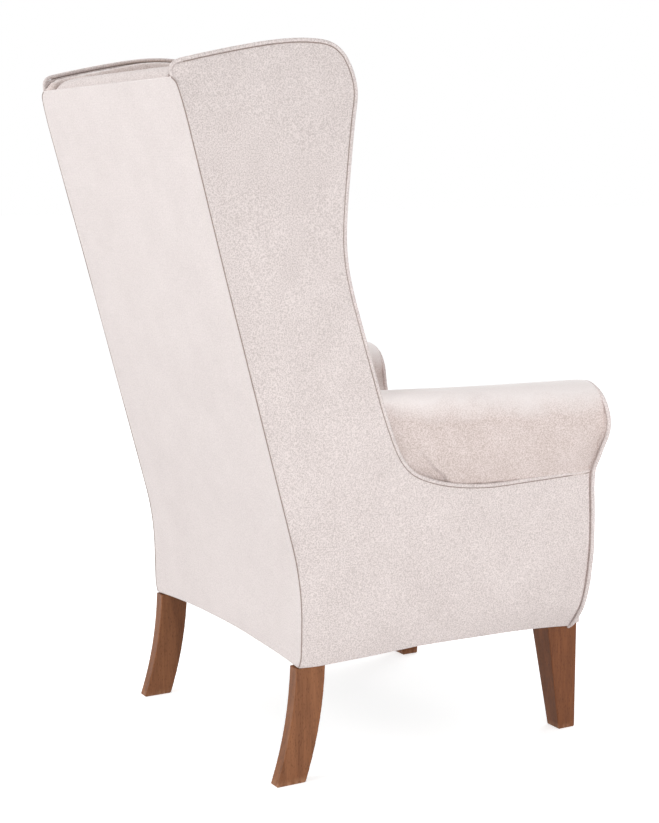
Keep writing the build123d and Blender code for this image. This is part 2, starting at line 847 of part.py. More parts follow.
# Top strip over the top rail and the post ends
with BuildPart() as back_top_strip:
    with BuildSketch(Plane.YZ):
        with BuildLine():
            Polyline(
                back_point(post_top + soft_gap, post_inset),
                back_point(back_height - strip_drop, post_inset),
                back_point(back_height - strip_drop, pad_inset - soft_gap),
                back_point(post_top + soft_gap, pad_inset - soft_gap),
                close=True,
            )
        make_face()
    extrude(amount=wing_pad_inner + strip_lap, both=True)
    strip_rear = back_point(back_height - strip_drop, post_inset)
    strip_front = back_point(back_height - strip_drop, pad_inset - soft_gap)
    strip_crest = ((strip_rear[0] + strip_front[0]) / 2, back_height - strip_drop + strip_crown)
    with BuildSketch(Plane.YZ):
        with BuildLine():
            ThreePointArc(strip_rear, strip_crest, strip_front)
            Line(strip_front, strip_rear)
        make_face()
    extrude(amount=wing_inner_gap, both=True)
save(back_top_strip, "back_top_strip")

# Seat deck over the springs
deck_front = front_leg_face
with BuildPart() as seat_deck:
    with BuildSketch(Plane.XY.offset(deck_bottom)):
        with BuildLine():
            Polyline(
                (-arm_inner + soft_gap, deck_front),
                (arm_inner - soft_gap, deck_front),
                (arm_inner - soft_gap, lining_y),
                (-arm_inner + soft_gap, lining_y),
                close=True,
            )
        make_face()
    extrude(amount=deck_thickness)
save(seat_deck, "seat_deck")

# Front border over the front rail and the leg tops, with a return round each leg
border_low = skirt_height - border_drop
with BuildPart() as front_border:
    with BuildSketch(Plane.XZ.offset(-front_y)):
        with Locations((0, (border_low + deck_top) / 2)):
            Rectangle(2 * (front_leg_outer + soft_gap), deck_top - border_low)
    extrude(amount=-border_thickness)
    for end in (-1, 1):
        with BuildSketch(Plane.YZ.offset(end * (front_leg_outer + soft_gap))):
            with BuildLine():
                Polyline(
                    (front_y, border_low),
                    (front_y, deck_top),
                    (face_y(deck_top) - facing_thickness - glue_gap - soft_gap, deck_top),
                    (face_y(border_low) - facing_thickness - glue_gap - soft_gap, border_low),
                    close=True,
                )
            make_face()
        extrude(amount=end * border_return)
save(front_border, "front_border")

# Loose seat cushion: crowned top, sides drawn in between the corners
cushion_half = arm_inner - lift_gap
cushion_front = front_y + cushion_front_lap
cushion_rear = back_point(back_pad_slices[0][0], pad_inset + back_pad_slices[0][1])[0] - lift_gap
cushion_base = deck_top + soft_gap
cushion_edge = seat_height - cushion_crown
cushion_middle = (cushion_front + cushion_rear) / 2
with BuildPart() as seat_cushion:
    with BuildSketch(Plane.XY.offset(cushion_base)):
        with BuildLine():
            corners = [
                (-cushion_half, cushion_front),
                (cushion_half, cushion_front),
                (cushion_half, cushion_rear),
                (-cushion_half, cushion_rear),
            ]
            draws = [
                (0, cushion_front + cushion_draw),
                (cushion_half - cushion_draw, cushion_middle),
                (0, cushion_rear - cushion_draw),
                (-cushion_half + cushion_draw, cushion_middle),
            ]
            for corner in range(4):
                ThreePointArc(corners[corner], draws[corner], corners[(corner + 1) % 4])
        make_face()
    extrude(amount=seat_height)
    with BuildSketch(Plane.XZ):
        with BuildLine():
            ThreePointArc((-cushion_half, cushion_edge), (0, seat_height), (cushion_half, cushion_edge))
            Polyline(
                (-cushion_half, cushion_edge),
                (-cushion_half, 0),
                (cushion_half, 0),
                (cushion_half, cushion_edge),
            )
        make_face()
    extrude(amount=overall_depth, both=True, mode=Mode.INTERSECT)
    with BuildSketch(Plane.YZ):
        with BuildLine():
            ThreePointArc(
                (cushion_front, cushion_edge),
                (cushion_middle, seat_height),
                (cushion_rear, cushion_edge),
            )
            Polyline(
                (cushion_front, cushion_edge),
                (cushion_front, 0),
                (cushion_rear, 0),
                (cushion_rear, cushion_edge),
            )
        make_face()
    extrude(amount=overall_depth, both=True, mode=Mode.INTERSECT)
save(seat_cushion, "seat_cushion")
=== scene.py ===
"""Wingback chair: covers, pads, piping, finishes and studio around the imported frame.

The frame is loaded in metres. The lines that the covers follow are drawn in millimetres, as the
frame was drawn, and turned into metres where a mesh gets its vertices.
"""

from __future__ import annotations

import json
import logging
import math
from dataclasses import dataclass, field
from enum import Enum
from typing import Callable, Sequence

import bpy
import numpy as np
from mathutils import Matrix, Vector, noise

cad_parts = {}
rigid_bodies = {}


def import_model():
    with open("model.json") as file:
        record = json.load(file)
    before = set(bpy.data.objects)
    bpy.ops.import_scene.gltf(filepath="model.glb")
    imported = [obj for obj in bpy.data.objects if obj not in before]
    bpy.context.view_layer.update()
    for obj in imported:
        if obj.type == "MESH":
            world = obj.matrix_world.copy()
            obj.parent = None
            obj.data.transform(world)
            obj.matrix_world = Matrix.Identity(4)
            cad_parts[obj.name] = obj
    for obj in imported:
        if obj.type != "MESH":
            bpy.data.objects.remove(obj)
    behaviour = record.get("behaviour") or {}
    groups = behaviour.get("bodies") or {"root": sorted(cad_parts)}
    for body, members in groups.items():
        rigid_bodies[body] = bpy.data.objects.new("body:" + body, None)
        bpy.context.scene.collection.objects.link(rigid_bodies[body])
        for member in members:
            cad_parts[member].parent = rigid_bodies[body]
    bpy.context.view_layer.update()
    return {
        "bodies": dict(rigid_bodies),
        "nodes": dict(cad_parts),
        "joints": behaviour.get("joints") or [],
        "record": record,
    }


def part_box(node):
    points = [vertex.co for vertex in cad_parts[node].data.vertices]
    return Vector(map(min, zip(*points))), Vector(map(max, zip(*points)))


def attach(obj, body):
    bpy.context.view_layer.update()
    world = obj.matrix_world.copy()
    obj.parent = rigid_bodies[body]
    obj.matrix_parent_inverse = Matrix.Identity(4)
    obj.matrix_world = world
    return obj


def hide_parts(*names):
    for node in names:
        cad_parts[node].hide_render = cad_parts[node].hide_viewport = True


LOG = logging.getLogger("wingback_chair")
MM = 0.001
# Blender's wave scale times the thread's width, for two threads to a band
BAND_SCALE = 0.16

Piece = bpy.types.Object
Socket = bpy.types.NodeSocket
Finish = bpy.types.Material
Point2 = tuple[float, float]
Point3 = tuple[float, float, float]


class Body(Enum):
    """Bodies of the frame that pieces ride on."""

    CHAIR = "chair"
    CUSHION = "cushion"


class Slot(Enum):
    """Material slots of the record."""

    STAINED_BEECH = "stained_beech"
    FRAME_BEECH = "frame_beech"
    DOWEL_BEECH = "dowel_beech"
    STEEL = "steel"
    WEBBING = "webbing"
    DUST_CLOTH = "dust_cloth"
    COVER_OUTSIDE = "cover_outside"
    COVER_INSIDE = "cover_inside"


class Side(Enum):
    """Sides of the chair, as the sitter has them."""

    LEFT = "left"
    RIGHT = "right"


# Finishes


class NodeBoard:
    """Adds and links the nodes of one material or world."""

    def __init__(self, owner: Finish | bpy.types.World) -> None:
        """Start with an empty node tree.

        Args:
            owner: Material or world that gets the nodes.
        """
        self.owner = owner
        owner.use_nodes = True
        self.tree = owner.node_tree
        self.tree.nodes.clear()

    def add(
        self, kind: str, feeds: dict[int | str, object] | None = None, **settings: object
    ) -> bpy.types.Node:
        """Add a node, set its properties and feed its inputs.

        Args:
            kind: Blender's name of the node type.
            feeds: Socket or fixed value of each input, by number or name.
            settings: Properties of the node.

        Returns:
            The new node.
        """
        node = self.tree.nodes.new(kind)
        for key, value in settings.items():
            setattr(node, key, value)
        for key, value in (feeds or {}).items():
            if isinstance(value, Socket):
                self.tree.links.new(value, node.inputs[key])
            else:
                node.inputs[key].default_value = value
        return node

    def place(self, scale: Point3 = (1.0, 1.0, 1.0)) -> Socket:
        """Give the piece's own coordinates, scaled along the three axes."""
        place = self.add("ShaderNodeTexCoord").outputs["Object"]
        return self.add("ShaderNodeMapping", {"Vector": place, "Scale": scale}).outputs["Vector"]

    def height(self) -> Socket:
        """Give the height in the piece's own coordinates, in metres."""
        return self.add("ShaderNodeSeparateXYZ", {"Vector": self.place()}).outputs["Z"]

    def cloud(self, scale: Point3, detail: float, roughness: float = 0.5) -> Socket:
        """Add a noise texture.

        Args:
            scale: Cells per metre along the three axes.
            detail: Octaves of the noise.
            roughness: Weight of the finer octaves.

        Returns:
            Value socket, about 0.5 in the middle.
        """
        feeds = {"Vector": self.place(scale), "Scale": 1.0, "Detail": detail, "Roughness": roughness}
        return self.add("ShaderNodeTexNoise", feeds).outputs["Fac"]

    def waves(self, direction: str, pitch: float, distortion: float) -> Socket:
        """Add the bands of a weave.

        Args:
            direction: Axis that the bands follow one another along.
            pitch: Width of one thread in metres.
            distortion: How uneven the bands are.

        Returns:
            Value socket.
        """
        feeds = {"Vector": self.place(), "Scale": BAND_SCALE / pitch, "Distortion": distortion}
        node = self.add("ShaderNodeTexWave", feeds, wave_type="BANDS", bands_direction=direction)
        return node.outputs["Fac"]

    def span(self, value: Socket, low: float, high: float, start: float, end: float) -> Socket:
        """Map a value from one range to another.

        Args:
            value: Socket that is mapped.
            low: Value that becomes start.
            high: Value that becomes end.
            start: Result at low.
            end: Result at high.

        Returns:
            Mapped value socket.
        """
        feeds = {"Value": value, "From Min": low, "From Max": high, "To Min": start, "To Max": end}
        return self.add("ShaderNodeMapRange", feeds).outputs["Result"]

    def sum(self, first: Socket, second: Socket | float, operation: str = "ADD") -> Socket:
        """Combine two values.

        Args:
            first: First value socket.
            second: Second value socket, or a fixed value.
            operation: Name of the arithmetic.

        Returns:
            Result socket.
        """
        return self.add("ShaderNodeMath", {0: first, 1: second}, operation=operation).outputs["Value"]

    def blend(self, factor: Socket, first: object, second: object) -> Socket:
        """Mix two colours.

        Args:
            factor: Value socket, 0 for the first colour and 1 for the second.
            first: Colour socket or red, green and blue.
            second: Colour socket or red, green and blue.

        Returns:
            Colour socket.
        """
        colours = [item if isinstance(item, Socket) else (*item, 1.0) for item in (first, second)]
        feeds = {0: factor, 6: colours[0], 7: colours[1]}
        return self.add("ShaderNodeMix", feeds, data_type="RGBA").outputs[2]

    def surface(
        self,
        colour: Socket,
        roughness: Socket,
        height: Socket,
        depth: float,
        strength: float,
        **constants: object,
    ) -> Finish:
        """Finish the material with a principled shader and a bump.

        Args:
            colour: Base colour.
            roughness: Roughness.
            height: Height of the bump.
            depth: Bump distance in metres.
            strength: Bump strength.
            constants: Values of the shader's own sockets, with _ for a space.

        Returns:
            The finished material.
        """
        bump = self.add("ShaderNodeBump", {"Strength": strength, "Distance": depth, "Height": height})
        feeds = {"Base Color": colour, "Roughness": roughness, "Normal": bump.outputs["Normal"]}
        feeds.update((key.replace("_", " "), value) for key, value in constants.items())
        shader = self.add("ShaderNodeBsdfPrincipled", feeds)
        self.add("ShaderNodeOutputMaterial", {"Surface": shader.outputs["BSDF"]})
        return self.owner


@dataclass(frozen=True)
class ChenilleFinish:
    """Fine chenille cloth with a soft, blotchy pile, and where set a painted highlight above a height."""

    name: str
    base: Point3
    shade: Point3
    blotch_pitch: float = 0.075
    blotch: float = 0.14
    speckle: float = 0.8
    yarn_pitch: float = 0.0021
    sheen: float = 0.15
    # Heights in metres over which a painted highlight fades in, and the highlight's pale tone
    painted_top_highlight: Point2 | None = None
    painted_highlight_tone: Point3 = (0.90, 0.84, 0.825)

    def build(self) -> Finish:
        """Build the material of the cloth.

        Returns:
            The material.
        """
        board = NodeBoard(bpy.data.materials.new(self.name))
        cells = 1.0 / self.blotch_pitch
        blotch = board.cloud((cells, cells, cells), 3.0, 0.55)
        yarns = 1.0 / self.yarn_pitch
        nap = board.cloud((yarns, yarns, yarns), 2.0, 0.75)
        patches = board.span(blotch, 0.35, 0.7, 0.0, self.blotch)
        grains = board.span(nap, 0.4, 0.62, 0.0, self.speckle)
        colour = board.blend(board.sum(patches, grains), self.base, self.shade)
        if self.painted_top_highlight is not None:
            # Painted highlight: the pile is made paler above a height, standing in for the light along the
            # top of the arm rolls
            uneven = board.sum(board.height(), board.span(blotch, 0.3, 0.7, -0.012, 0.012))
            colour = board.blend(board.span(uneven, *self.painted_top_highlight, 0.0, 0.85), colour, self.painted_highlight_tone)
        roughness = board.span(blotch, 0.3, 0.7, 0.84, 0.95)
        weave = board.waves("Z", self.yarn_pitch, 3.0)
        height = board.sum(board.span(nap, 0.0, 1.0, 0.0, 0.7), board.span(weave, 0.0, 1.0, 0.0, 0.3))
        return board.surface(
            colour,
            roughness,
            height,
            0.0007,
            0.30,
            Sheen_Weight=self.sheen,
            Sheen_Roughness=0.4,
            Specular_IOR_Level=0.12,
        )


@dataclass(frozen=True)
class BeechFinish:
    """Beech with its grain along the height, short flecks and worn ends."""

    name: str
    dark: Point3
    light: Point3
    worn: Point3
    gloss: float
    along: Point3 = (70.0, 70.0, 5.0)
    wear_height: float = 0.012

    def build(self) -> Finish:
        """Build the material of the wood.

        Returns:
            The material.
        """
        board = NodeBoard(bpy.data.materials.new(self.name))
        grain = board.cloud(self.along, 5.0, 0.6)
        streaks = board.cloud(tuple(6.0 * value for value in self.along), 2.0)
        along_x, along_y, along_z = self.along
        cells = board.place((along_x * 6, along_y * 6, along_z * 24))
        fleck = board.add("ShaderNodeTexVoronoi", {"Vector": cells, "Scale": 1.0})
        flecks = board.span(fleck.outputs["Distance"], 0.05, 0.34, 0.55, 0.0)
        tone = board.sum(board.span(grain, 0.3, 0.72, 0.0, 0.7), board.span(streaks, 0.3, 0.7, 0.0, 0.3))
        body = board.blend(board.sum(tone, flecks, "SUBTRACT"), self.dark, self.light)
        foot = board.span(board.height(), 0.0, self.wear_height, 0.75, 0.0)
        scuffs = board.span(board.cloud((160.0, 160.0, 60.0), 3.0), 0.42, 0.62, 0.15, 1.0)
        colour = board.blend(board.sum(foot, scuffs, "MULTIPLY"), body, self.worn)
        roughness = board.span(streaks, 0.3, 0.7, self.gloss, self.gloss + 0.14)
        return board.surface(colour, roughness, tone, 0.0003, 0.25, Specular_IOR_Level=0.25)


@dataclass(frozen=True)
class SteelFinish:
    """Plain zinc-grey steel with a fine mottle."""

    name: str
    base: Point3 = (0.46, 0.47, 0.48)
    dull: Point3 = (0.30, 0.31, 0.32)

    def build(self) -> Finish:
        """Build the material of the steel.

        Returns:
            The material.
        """
        board = NodeBoard(bpy.data.materials.new(self.name))
        mottle = board.cloud((240.0, 240.0, 240.0), 3.0)
        colour = board.blend(board.span(mottle, 0.3, 0.7, 0.0, 1.0), self.base, self.dull)
        roughness = board.span(mottle, 0.3, 0.7, 0.32, 0.5)
        return board.surface(colour, roughness, mottle, 0.0002, 0.15, Metallic=1.0)


@dataclass(frozen=True)
class WovenFinish:
    """Coarse plain weave for webbing and the dust cover."""

    name: str
    base: Point3
    shade: Point3
    pitch: float = 0.0024

    def build(self) -> Finish:
        """Build the material of the weave.

        Returns:
            The material.
        """
        board = NodeBoard(bpy.data.materials.new(self.name))
        threads = [board.waves(direction, self.pitch, 0.6) for direction in ("X", "Y")]
        height = board.sum(*threads, "MULTIPLY")
        fuzz = board.cloud((420.0, 420.0, 420.0), 3.0)
        factor = board.sum(board.span(height, 0.0, 1.0, 0.6, 0.0), board.span(fuzz, 0.3, 0.7, 0.0, 0.4))
        colour = board.blend(factor, self.base, self.shade)
        roughness = board.span(fuzz, 0.3, 0.7, 0.8, 0.95)
        return board.surface(colour, roughness, height, 0.0006, 0.4, Specular_IOR_Level=0.15)


# Modelling bench


@dataclass(frozen=True)
class PadSpec:
    """How a pad is filled: sizes in millimetres."""

    voxel: float = 5.0
    shrink: float = 1.0
    pressure: float = 4.0
    cap: float = 5.0
    smooth: int = 6
    frames: int = 20
    fill: float = 0.7
    refine: int = 1


class Bench:
    """Operators for modelling one piece at a time."""

    @staticmethod
    def clear_selection() -> None:
        """Leave edit mode and deselect everything."""
        active = bpy.context.view_layer.objects.active
        if active is not None and active.mode != "OBJECT":
            bpy.ops.object.mode_set(mode="OBJECT")
        bpy.ops.object.select_all(action="DESELECT")

    @classmethod
    def take(cls, piece: Piece) -> None:
        """Select one piece alone and make it active."""
        cls.clear_selection()
        piece.select_set(True)
        bpy.context.view_layer.objects.active = piece

    @classmethod
    def modify(cls, piece: Piece, kind: str, **settings: object) -> None:
        """Add a modifier and apply it.

        Args:
            piece: Piece that is changed.
            kind: Blender's name of the modifier type.
            settings: Settings of the modifier.
        """
        cls.take(piece)
        bpy.ops.object.modifier_add(type=kind)
        modifier = piece.modifiers[-1]
        for key, value in settings.items():
            setattr(modifier, key, value)
        bpy.ops.object.modifier_apply(modifier=modifier.name)

    @classmethod
    def grid(cls, name: str, rows: Sequence[Sequence[Point3]]) -> Piece:
        """Add a grid and lay its vertices on rows of points.

        Args:
            name: Name of the piece.
            rows: Points in millimetres, the same number in each row.

        Returns:
            The new piece.
        """
        cls.clear_selection()
        columns = len(rows[0]) - 1
        bpy.ops.mesh.primitive_grid_add(x_subdivisions=columns, y_subdivisions=len(rows) - 1, size=1.0)
        piece = bpy.context.object
        piece.name = name
        piece.data.name = name
        places = np.array(rows, dtype=np.float64).reshape(-1, 3) * MM
        piece.data.vertices.foreach_set("co", places.ravel())
        piece.data.update()
        return piece

    @classmethod
    def join(cls, pieces: Sequence[Piece], merge: float = 0.05) -> Piece:
        """Join pieces into the first one and weld their shared edges.

        Args:
            pieces: Pieces to join.
            merge: Weld distance in millimetres.

        Returns:
            The joined piece.
        """
        cls.take(pieces[0])
        for piece in pieces[1:]:
            piece.select_set(True)
        if len(pieces) > 1:
            bpy.ops.object.join()
        cls.weld(pieces[0], merge)
        return pieces[0]

    @classmethod
    def edit(cls, piece: Piece, operator: Callable[..., object], **settings: object) -> None:
        """Run a mesh operator on the whole of a piece.

        Args:
            piece: Piece that is changed.
            operator: Operator of edit mode.
            settings: Settings of the operator.
        """
        cls.take(piece)
        bpy.ops.object.mode_set(mode="EDIT")
        bpy.ops.mesh.select_all(action="SELECT")
        operator(**settings)
        bpy.ops.object.mode_set(mode="OBJECT")

    @classmethod
    def weld(cls, piece: Piece, distance: float = 0.05) -> None:
        """Merge doubled vertices of a piece, distance in millimetres."""
        cls.edit(piece, bpy.ops.mesh.remove_doubles, threshold=distance * MM)

    @classmethod
    def face_outwards(cls, piece: Piece) -> None:
        """Turn all faces of a closed piece outwards."""
        cls.edit(piece, bpy.ops.mesh.normals_make_consistent, inside=False)

    @classmethod
    def face_along(cls, piece: Piece, direction: Point3) -> None:
        """Turn an open sheet so that its faces look along a direction on the whole.

        Args:
            piece: Sheet that is turned.
            direction: Direction that its faces should look along.
        """
        total = Vector((0.0, 0.0, 0.0))
        for polygon in piece.data.polygons:
            total += polygon.normal * polygon.area
        if total.dot(Vector(direction)) < 0.0:
            piece.data.flip_normals()

    @classmethod
    def smooth(cls, piece: Piece, angle: float = 40.0) -> None:
        """Shade a piece smooth up to an angle in degrees."""
        cls.take(piece)
        bpy.ops.object.shade_smooth_by_angle(angle=math.radians(angle))

    @classmethod
    def copy_nodes(cls, nodes: Sequence[Piece], name: str) -> Piece:
        """Copy the meshes of frame nodes into one new piece.

        Args:
            nodes: Nodes of the frame.
            name: Name of the piece.

        Returns:
            The new piece, with its doubles merged.
        """
        copies = []
        for node in nodes:
            mesh = node.data.copy()
            mesh.materials.clear()
            copy = bpy.data.objects.new(name, mesh)
            bpy.context.scene.collection.objects.link(copy)
            copies.append(copy)
        piece = cls.join(copies, 0.01)
        piece.name = name
        piece.data.name = name
        return piece

    @classmethod
    def mirrored(cls, piece: Piece, name: str) -> Piece:
        """Copy a piece to the other side of the chair.

        Args:
            piece: Finished piece.
            name: Name of the copy.

        Returns:
            The copy, with its own mesh.
        """
        twin = bpy.data.objects.new(name, piece.data.copy())
        twin.data.name = name
        bpy.context.scene.collection.objects.link(twin)
        twin.data.transform(Matrix.Diagonal((-1.0, 1.0, 1.0, 1.0)))
        twin.data.flip_normals()
        return twin

    @classmethod
    def tube(cls, name: str, path: Sequence[Point3], radius: float, closed: bool = False) -> Piece:
        """Make a round cord along a path.

        Args:
            name: Name of the piece.
            path: Points in millimetres.
            radius: Radius in millimetres.
            closed: Whether the path closes on itself.

        Returns:
            The cord as a mesh.
        """
        cls.clear_selection()
        bpy.ops.curve.primitive_nurbs_path_add()
        piece = bpy.context.object
        piece.name = name
        curve = piece.data
        curve.splines.clear()
        spline = curve.splines.new("POLY")
        spline.points.add(len(path) - 1)
        for point, place in zip(spline.points, path):
            point.co = (*(Vector(place) * MM), 1.0)
        spline.use_cyclic_u = closed
        curve.dimensions = "3D"
        curve.twist_mode = "MINIMUM"
        curve.bevel_depth = radius * MM
        curve.bevel_resolution = 3
        curve.use_fill_caps = True
        bpy.ops.object.convert(target="MESH")
        piece = bpy.context.object
        piece.data.name = name
        cls.weld(piece, 0.01)
        cls.face_outwards(piece)
        cls.smooth(piece, 60.0)
        return piece

    @classmethod
    def slab(cls, piece: Piece, thickness: float, rounding: float, segments: int = 3) -> None:
        """Give a sheet its thickness behind its face, and round its rim.

        Args:
            piece: Open sheet.
            thickness: Thickness in millimetres.
            rounding: Radius of the rim in millimetres.
            segments: Segments of the rounding.
        """
        cls.modify(piece, "SOLIDIFY", thickness=thickness * MM, offset=-1.0)
        cls.modify(
            piece,
            "BEVEL",
            width=rounding * MM,
            segments=segments,
            limit_method="ANGLE",
            angle_limit=math.radians(55.0),
            loop_slide=False,
        )

    @classmethod
    def ripple(cls, piece: Piece, depth: float, pitch: float, seed: float = 0.0) -> None:
        """Move the skin of a piece in and out a little, as hand-stretched cloth does.

        Args:
            piece: Piece that is changed.
            depth: Largest movement in millimetres.
            pitch: Size of one ripple in millimetres.
            seed: Offset of the pattern.
        """
        shift = Vector((seed, 0.7 * seed, -0.4 * seed))
        for vertex in piece.data.vertices:
            vertex.co += vertex.normal * (noise.noise(vertex.co / (pitch * MM) + shift) * depth * MM)
        piece.data.update()

    @classmethod
    def inflate(
        cls,
        piece: Piece,
        pad: PadSpec,
        pinned: Callable[[Vector], bool] | None = None,
    ) -> None:
        """Fill a pad: remesh it, swell it as cloth under pressure, and refine it.

        Args:
            piece: Closed piece.
            pad: How it is filled.
            pinned: Says which points, in millimetres, stay where they are.
        """
        voxel = pad.voxel * MM
        cls.modify(piece, "REMESH", mode="VOXEL", voxel_size=voxel, adaptivity=0.0, use_smooth_shade=True)
        if pad.shrink:
            cls.modify(piece, "DISPLACE", strength=-pad.shrink * MM, mid_level=0.0)
        if pad.smooth:
            cls.modify(piece, "SMOOTH", factor=0.5, iterations=pad.smooth)
        cls.swell(piece, pad, pinned)
        if pad.refine:
            cls.modify(piece, "SUBSURF", levels=pad.refine, render_levels=pad.refine)
        cls.smooth(piece, 80.0)

    @classmethod
    def swell(cls, piece: Piece, pad: PadSpec, pinned: Callable[[Vector], bool] | None) -> None:
        """Run the cloth simulation of a pad and keep its result within the cap.

        Args:
            piece: Remeshed piece.
            pad: How it is filled.
            pinned: Says which points, in millimetres, stay where they are.
        """
        scene = bpy.context.scene
        count = len(piece.data.vertices)
        rest = np.zeros(count * 3)
        piece.data.vertices.foreach_get("co", rest)
        cls.take(piece)
        bpy.ops.object.modifier_add(type="CLOTH")
        cloth = piece.modifiers[-1]
        settings = cloth.settings
        settings.quality = 4
        settings.mass = 0.25
        settings.tension_stiffness = 12.0
        settings.compression_stiffness = 12.0
        settings.shear_stiffness = 6.0
        settings.bending_stiffness = 0.6
        settings.air_damping = 2.0
        settings.use_pressure = True
        settings.uniform_pressure_force = pad.pressure
        settings.effector_weights.gravity = 0.0
        cloth.collision_settings.use_collision = False
        cloth.collision_settings.use_self_collision = False
        if pinned is not None:
            group = piece.vertex_groups.new(name="seams")
            held = [vertex.index for vertex in piece.data.vertices if pinned(vertex.co / MM)]
            group.add(held, 1.0, "REPLACE")
            settings.vertex_group_mass = group.name
        cloth.point_cache.frame_start = 1
        cloth.point_cache.frame_end = pad.frames
        for frame in range(1, pad.frames + 1):
            scene.frame_set(frame)
        swollen = piece.evaluated_get(bpy.context.evaluated_depsgraph_get())
        moved = np.zeros(count * 3)
        swollen.data.vertices.foreach_get("co", moved)
        bpy.ops.object.modifier_remove(modifier=cloth.name)
        scene.frame_set(1)
        piece.vertex_groups.clear()
        step = (moved - rest).reshape(-1, 3)
        length = np.linalg.norm(step, axis=1, keepdims=True)
        cap = pad.cap * MM
        step *= np.where(length > 1e-9, cap * np.tanh(length / cap) / np.maximum(length, 1e-9), 0.0)
        piece.data.vertices.foreach_set("co", rest + step.ravel())
        piece.data.update()


# Lines that the covers follow


def unit(value: float) -> float:
    """Keep a value between 0 and 1."""
    return min(max(value, 0.0), 1.0)


def through(points: Sequence[Sequence[float]], per_span: int = 8) -> list[tuple[float, ...]]:
    """Draw a smooth line through points.

    Args:
        points: Points of any dimension.
        per_span: Steps between two points.

    Returns:
        Points of the line.
    """
    places = [np.array(point, dtype=float) for point in points]
    ends = [2 * places[0] - places[1], *places, 2 * places[-1] - places[-2]]
    line = []
    for before, start, end, after in zip(ends, ends[1:], ends[2:], ends[3:]):
        pairs = ((before, start), (start, end), (end, after))
        steps = [max(np.linalg.norm(b - a), 1e-6) ** 0.5 for a, b in pairs]
        t0, t1 = 0.0, steps[0]
        t2, t3 = t1 + steps[1], t1 + steps[1] + steps[2]
        for step in range(per_span):
            t = t1 + (t2 - t1) * step / per_span
            a1 = (t1 - t) / (t1 - t0) * before + (t - t0) / (t1 - t0) * start
            a2 = (t2 - t) / (t2 - t1) * start + (t - t1) / (t2 - t1) * end
            a3 = (t3 - t) / (t3 - t2) * end + (t - t2) / (t3 - t2) * after
            b1 = (t2 - t) / (t2 - t0) * a1 + (t - t0) / (t2 - t0) * a2
            b2 = (t3 - t) / (t3 - t1) * a2 + (t - t1) / (t3 - t1) * a3
            line.append(tuple((t2 - t) / (t2 - t1) * b1 + (t - t1) / (t2 - t1) * b2))
    line.append(tuple(places[-1]))
    return line


def spaced(points: Sequence[Sequence[float]], count: int) -> np.ndarray:
    """Place points at even steps along a line.

    Args:
        points: Points of the line.
        count: Number of points wanted.

    Returns:
        Array with one point in each row.
    """
    places = np.array(points, dtype=float)
    lengths = np.concatenate(([0.0], np.cumsum(np.linalg.norm(np.diff(places, axis=0), axis=1))))
    steps = np.linspace(0.0, 1.0, count) * lengths[-1]
    return np.stack([np.interp(steps, lengths, column) for column in places.T], axis=1)


def inset_line(points: np.ndarray, distance: float) -> np.ndarray:
    """Move a flat line to its left side.

    Args:
        points: Points (a, b) of the line.
        distance: Distance of the move.

    Returns:
        Moved points.
    """
    along = np.gradient(points, axis=0)
    along /= np.maximum(np.linalg.norm(along, axis=1, keepdims=True), 1e-9)
    return points + distance * np.stack([-along[:, 1], along[:, 0]], axis=1)


def patch(bottom: np.ndarray, top: np.ndarray, rear: np.ndarray, front: np.ndarray) -> np.ndarray:
    """Fill four lines with rows of points.

    Args:
        bottom: Line from rear to front at the bottom.
        top: Line from rear to front at the top.
        rear: Line from bottom to top at the rear.
        front: Line from bottom to top at the front.

    Returns:
        Array of rows, from bottom to top, of points from rear to front.
    """
    across = np.linspace(0.0, 1.0, len(bottom))[None, :, None]
    upward = np.linspace(0.0, 1.0, len(rear))[:, None, None]
    between_rows = (1 - upward) * bottom[None] + upward * top[None]
    between_ends = (1 - across) * rear[:, None] + across * front[:, None]
    corners = (1 - upward) * ((1 - across) * bottom[0] + across * bottom[-1]) + upward * (
        (1 - across) * top[0] + across * top[-1]
    )
    return between_rows + between_ends - corners


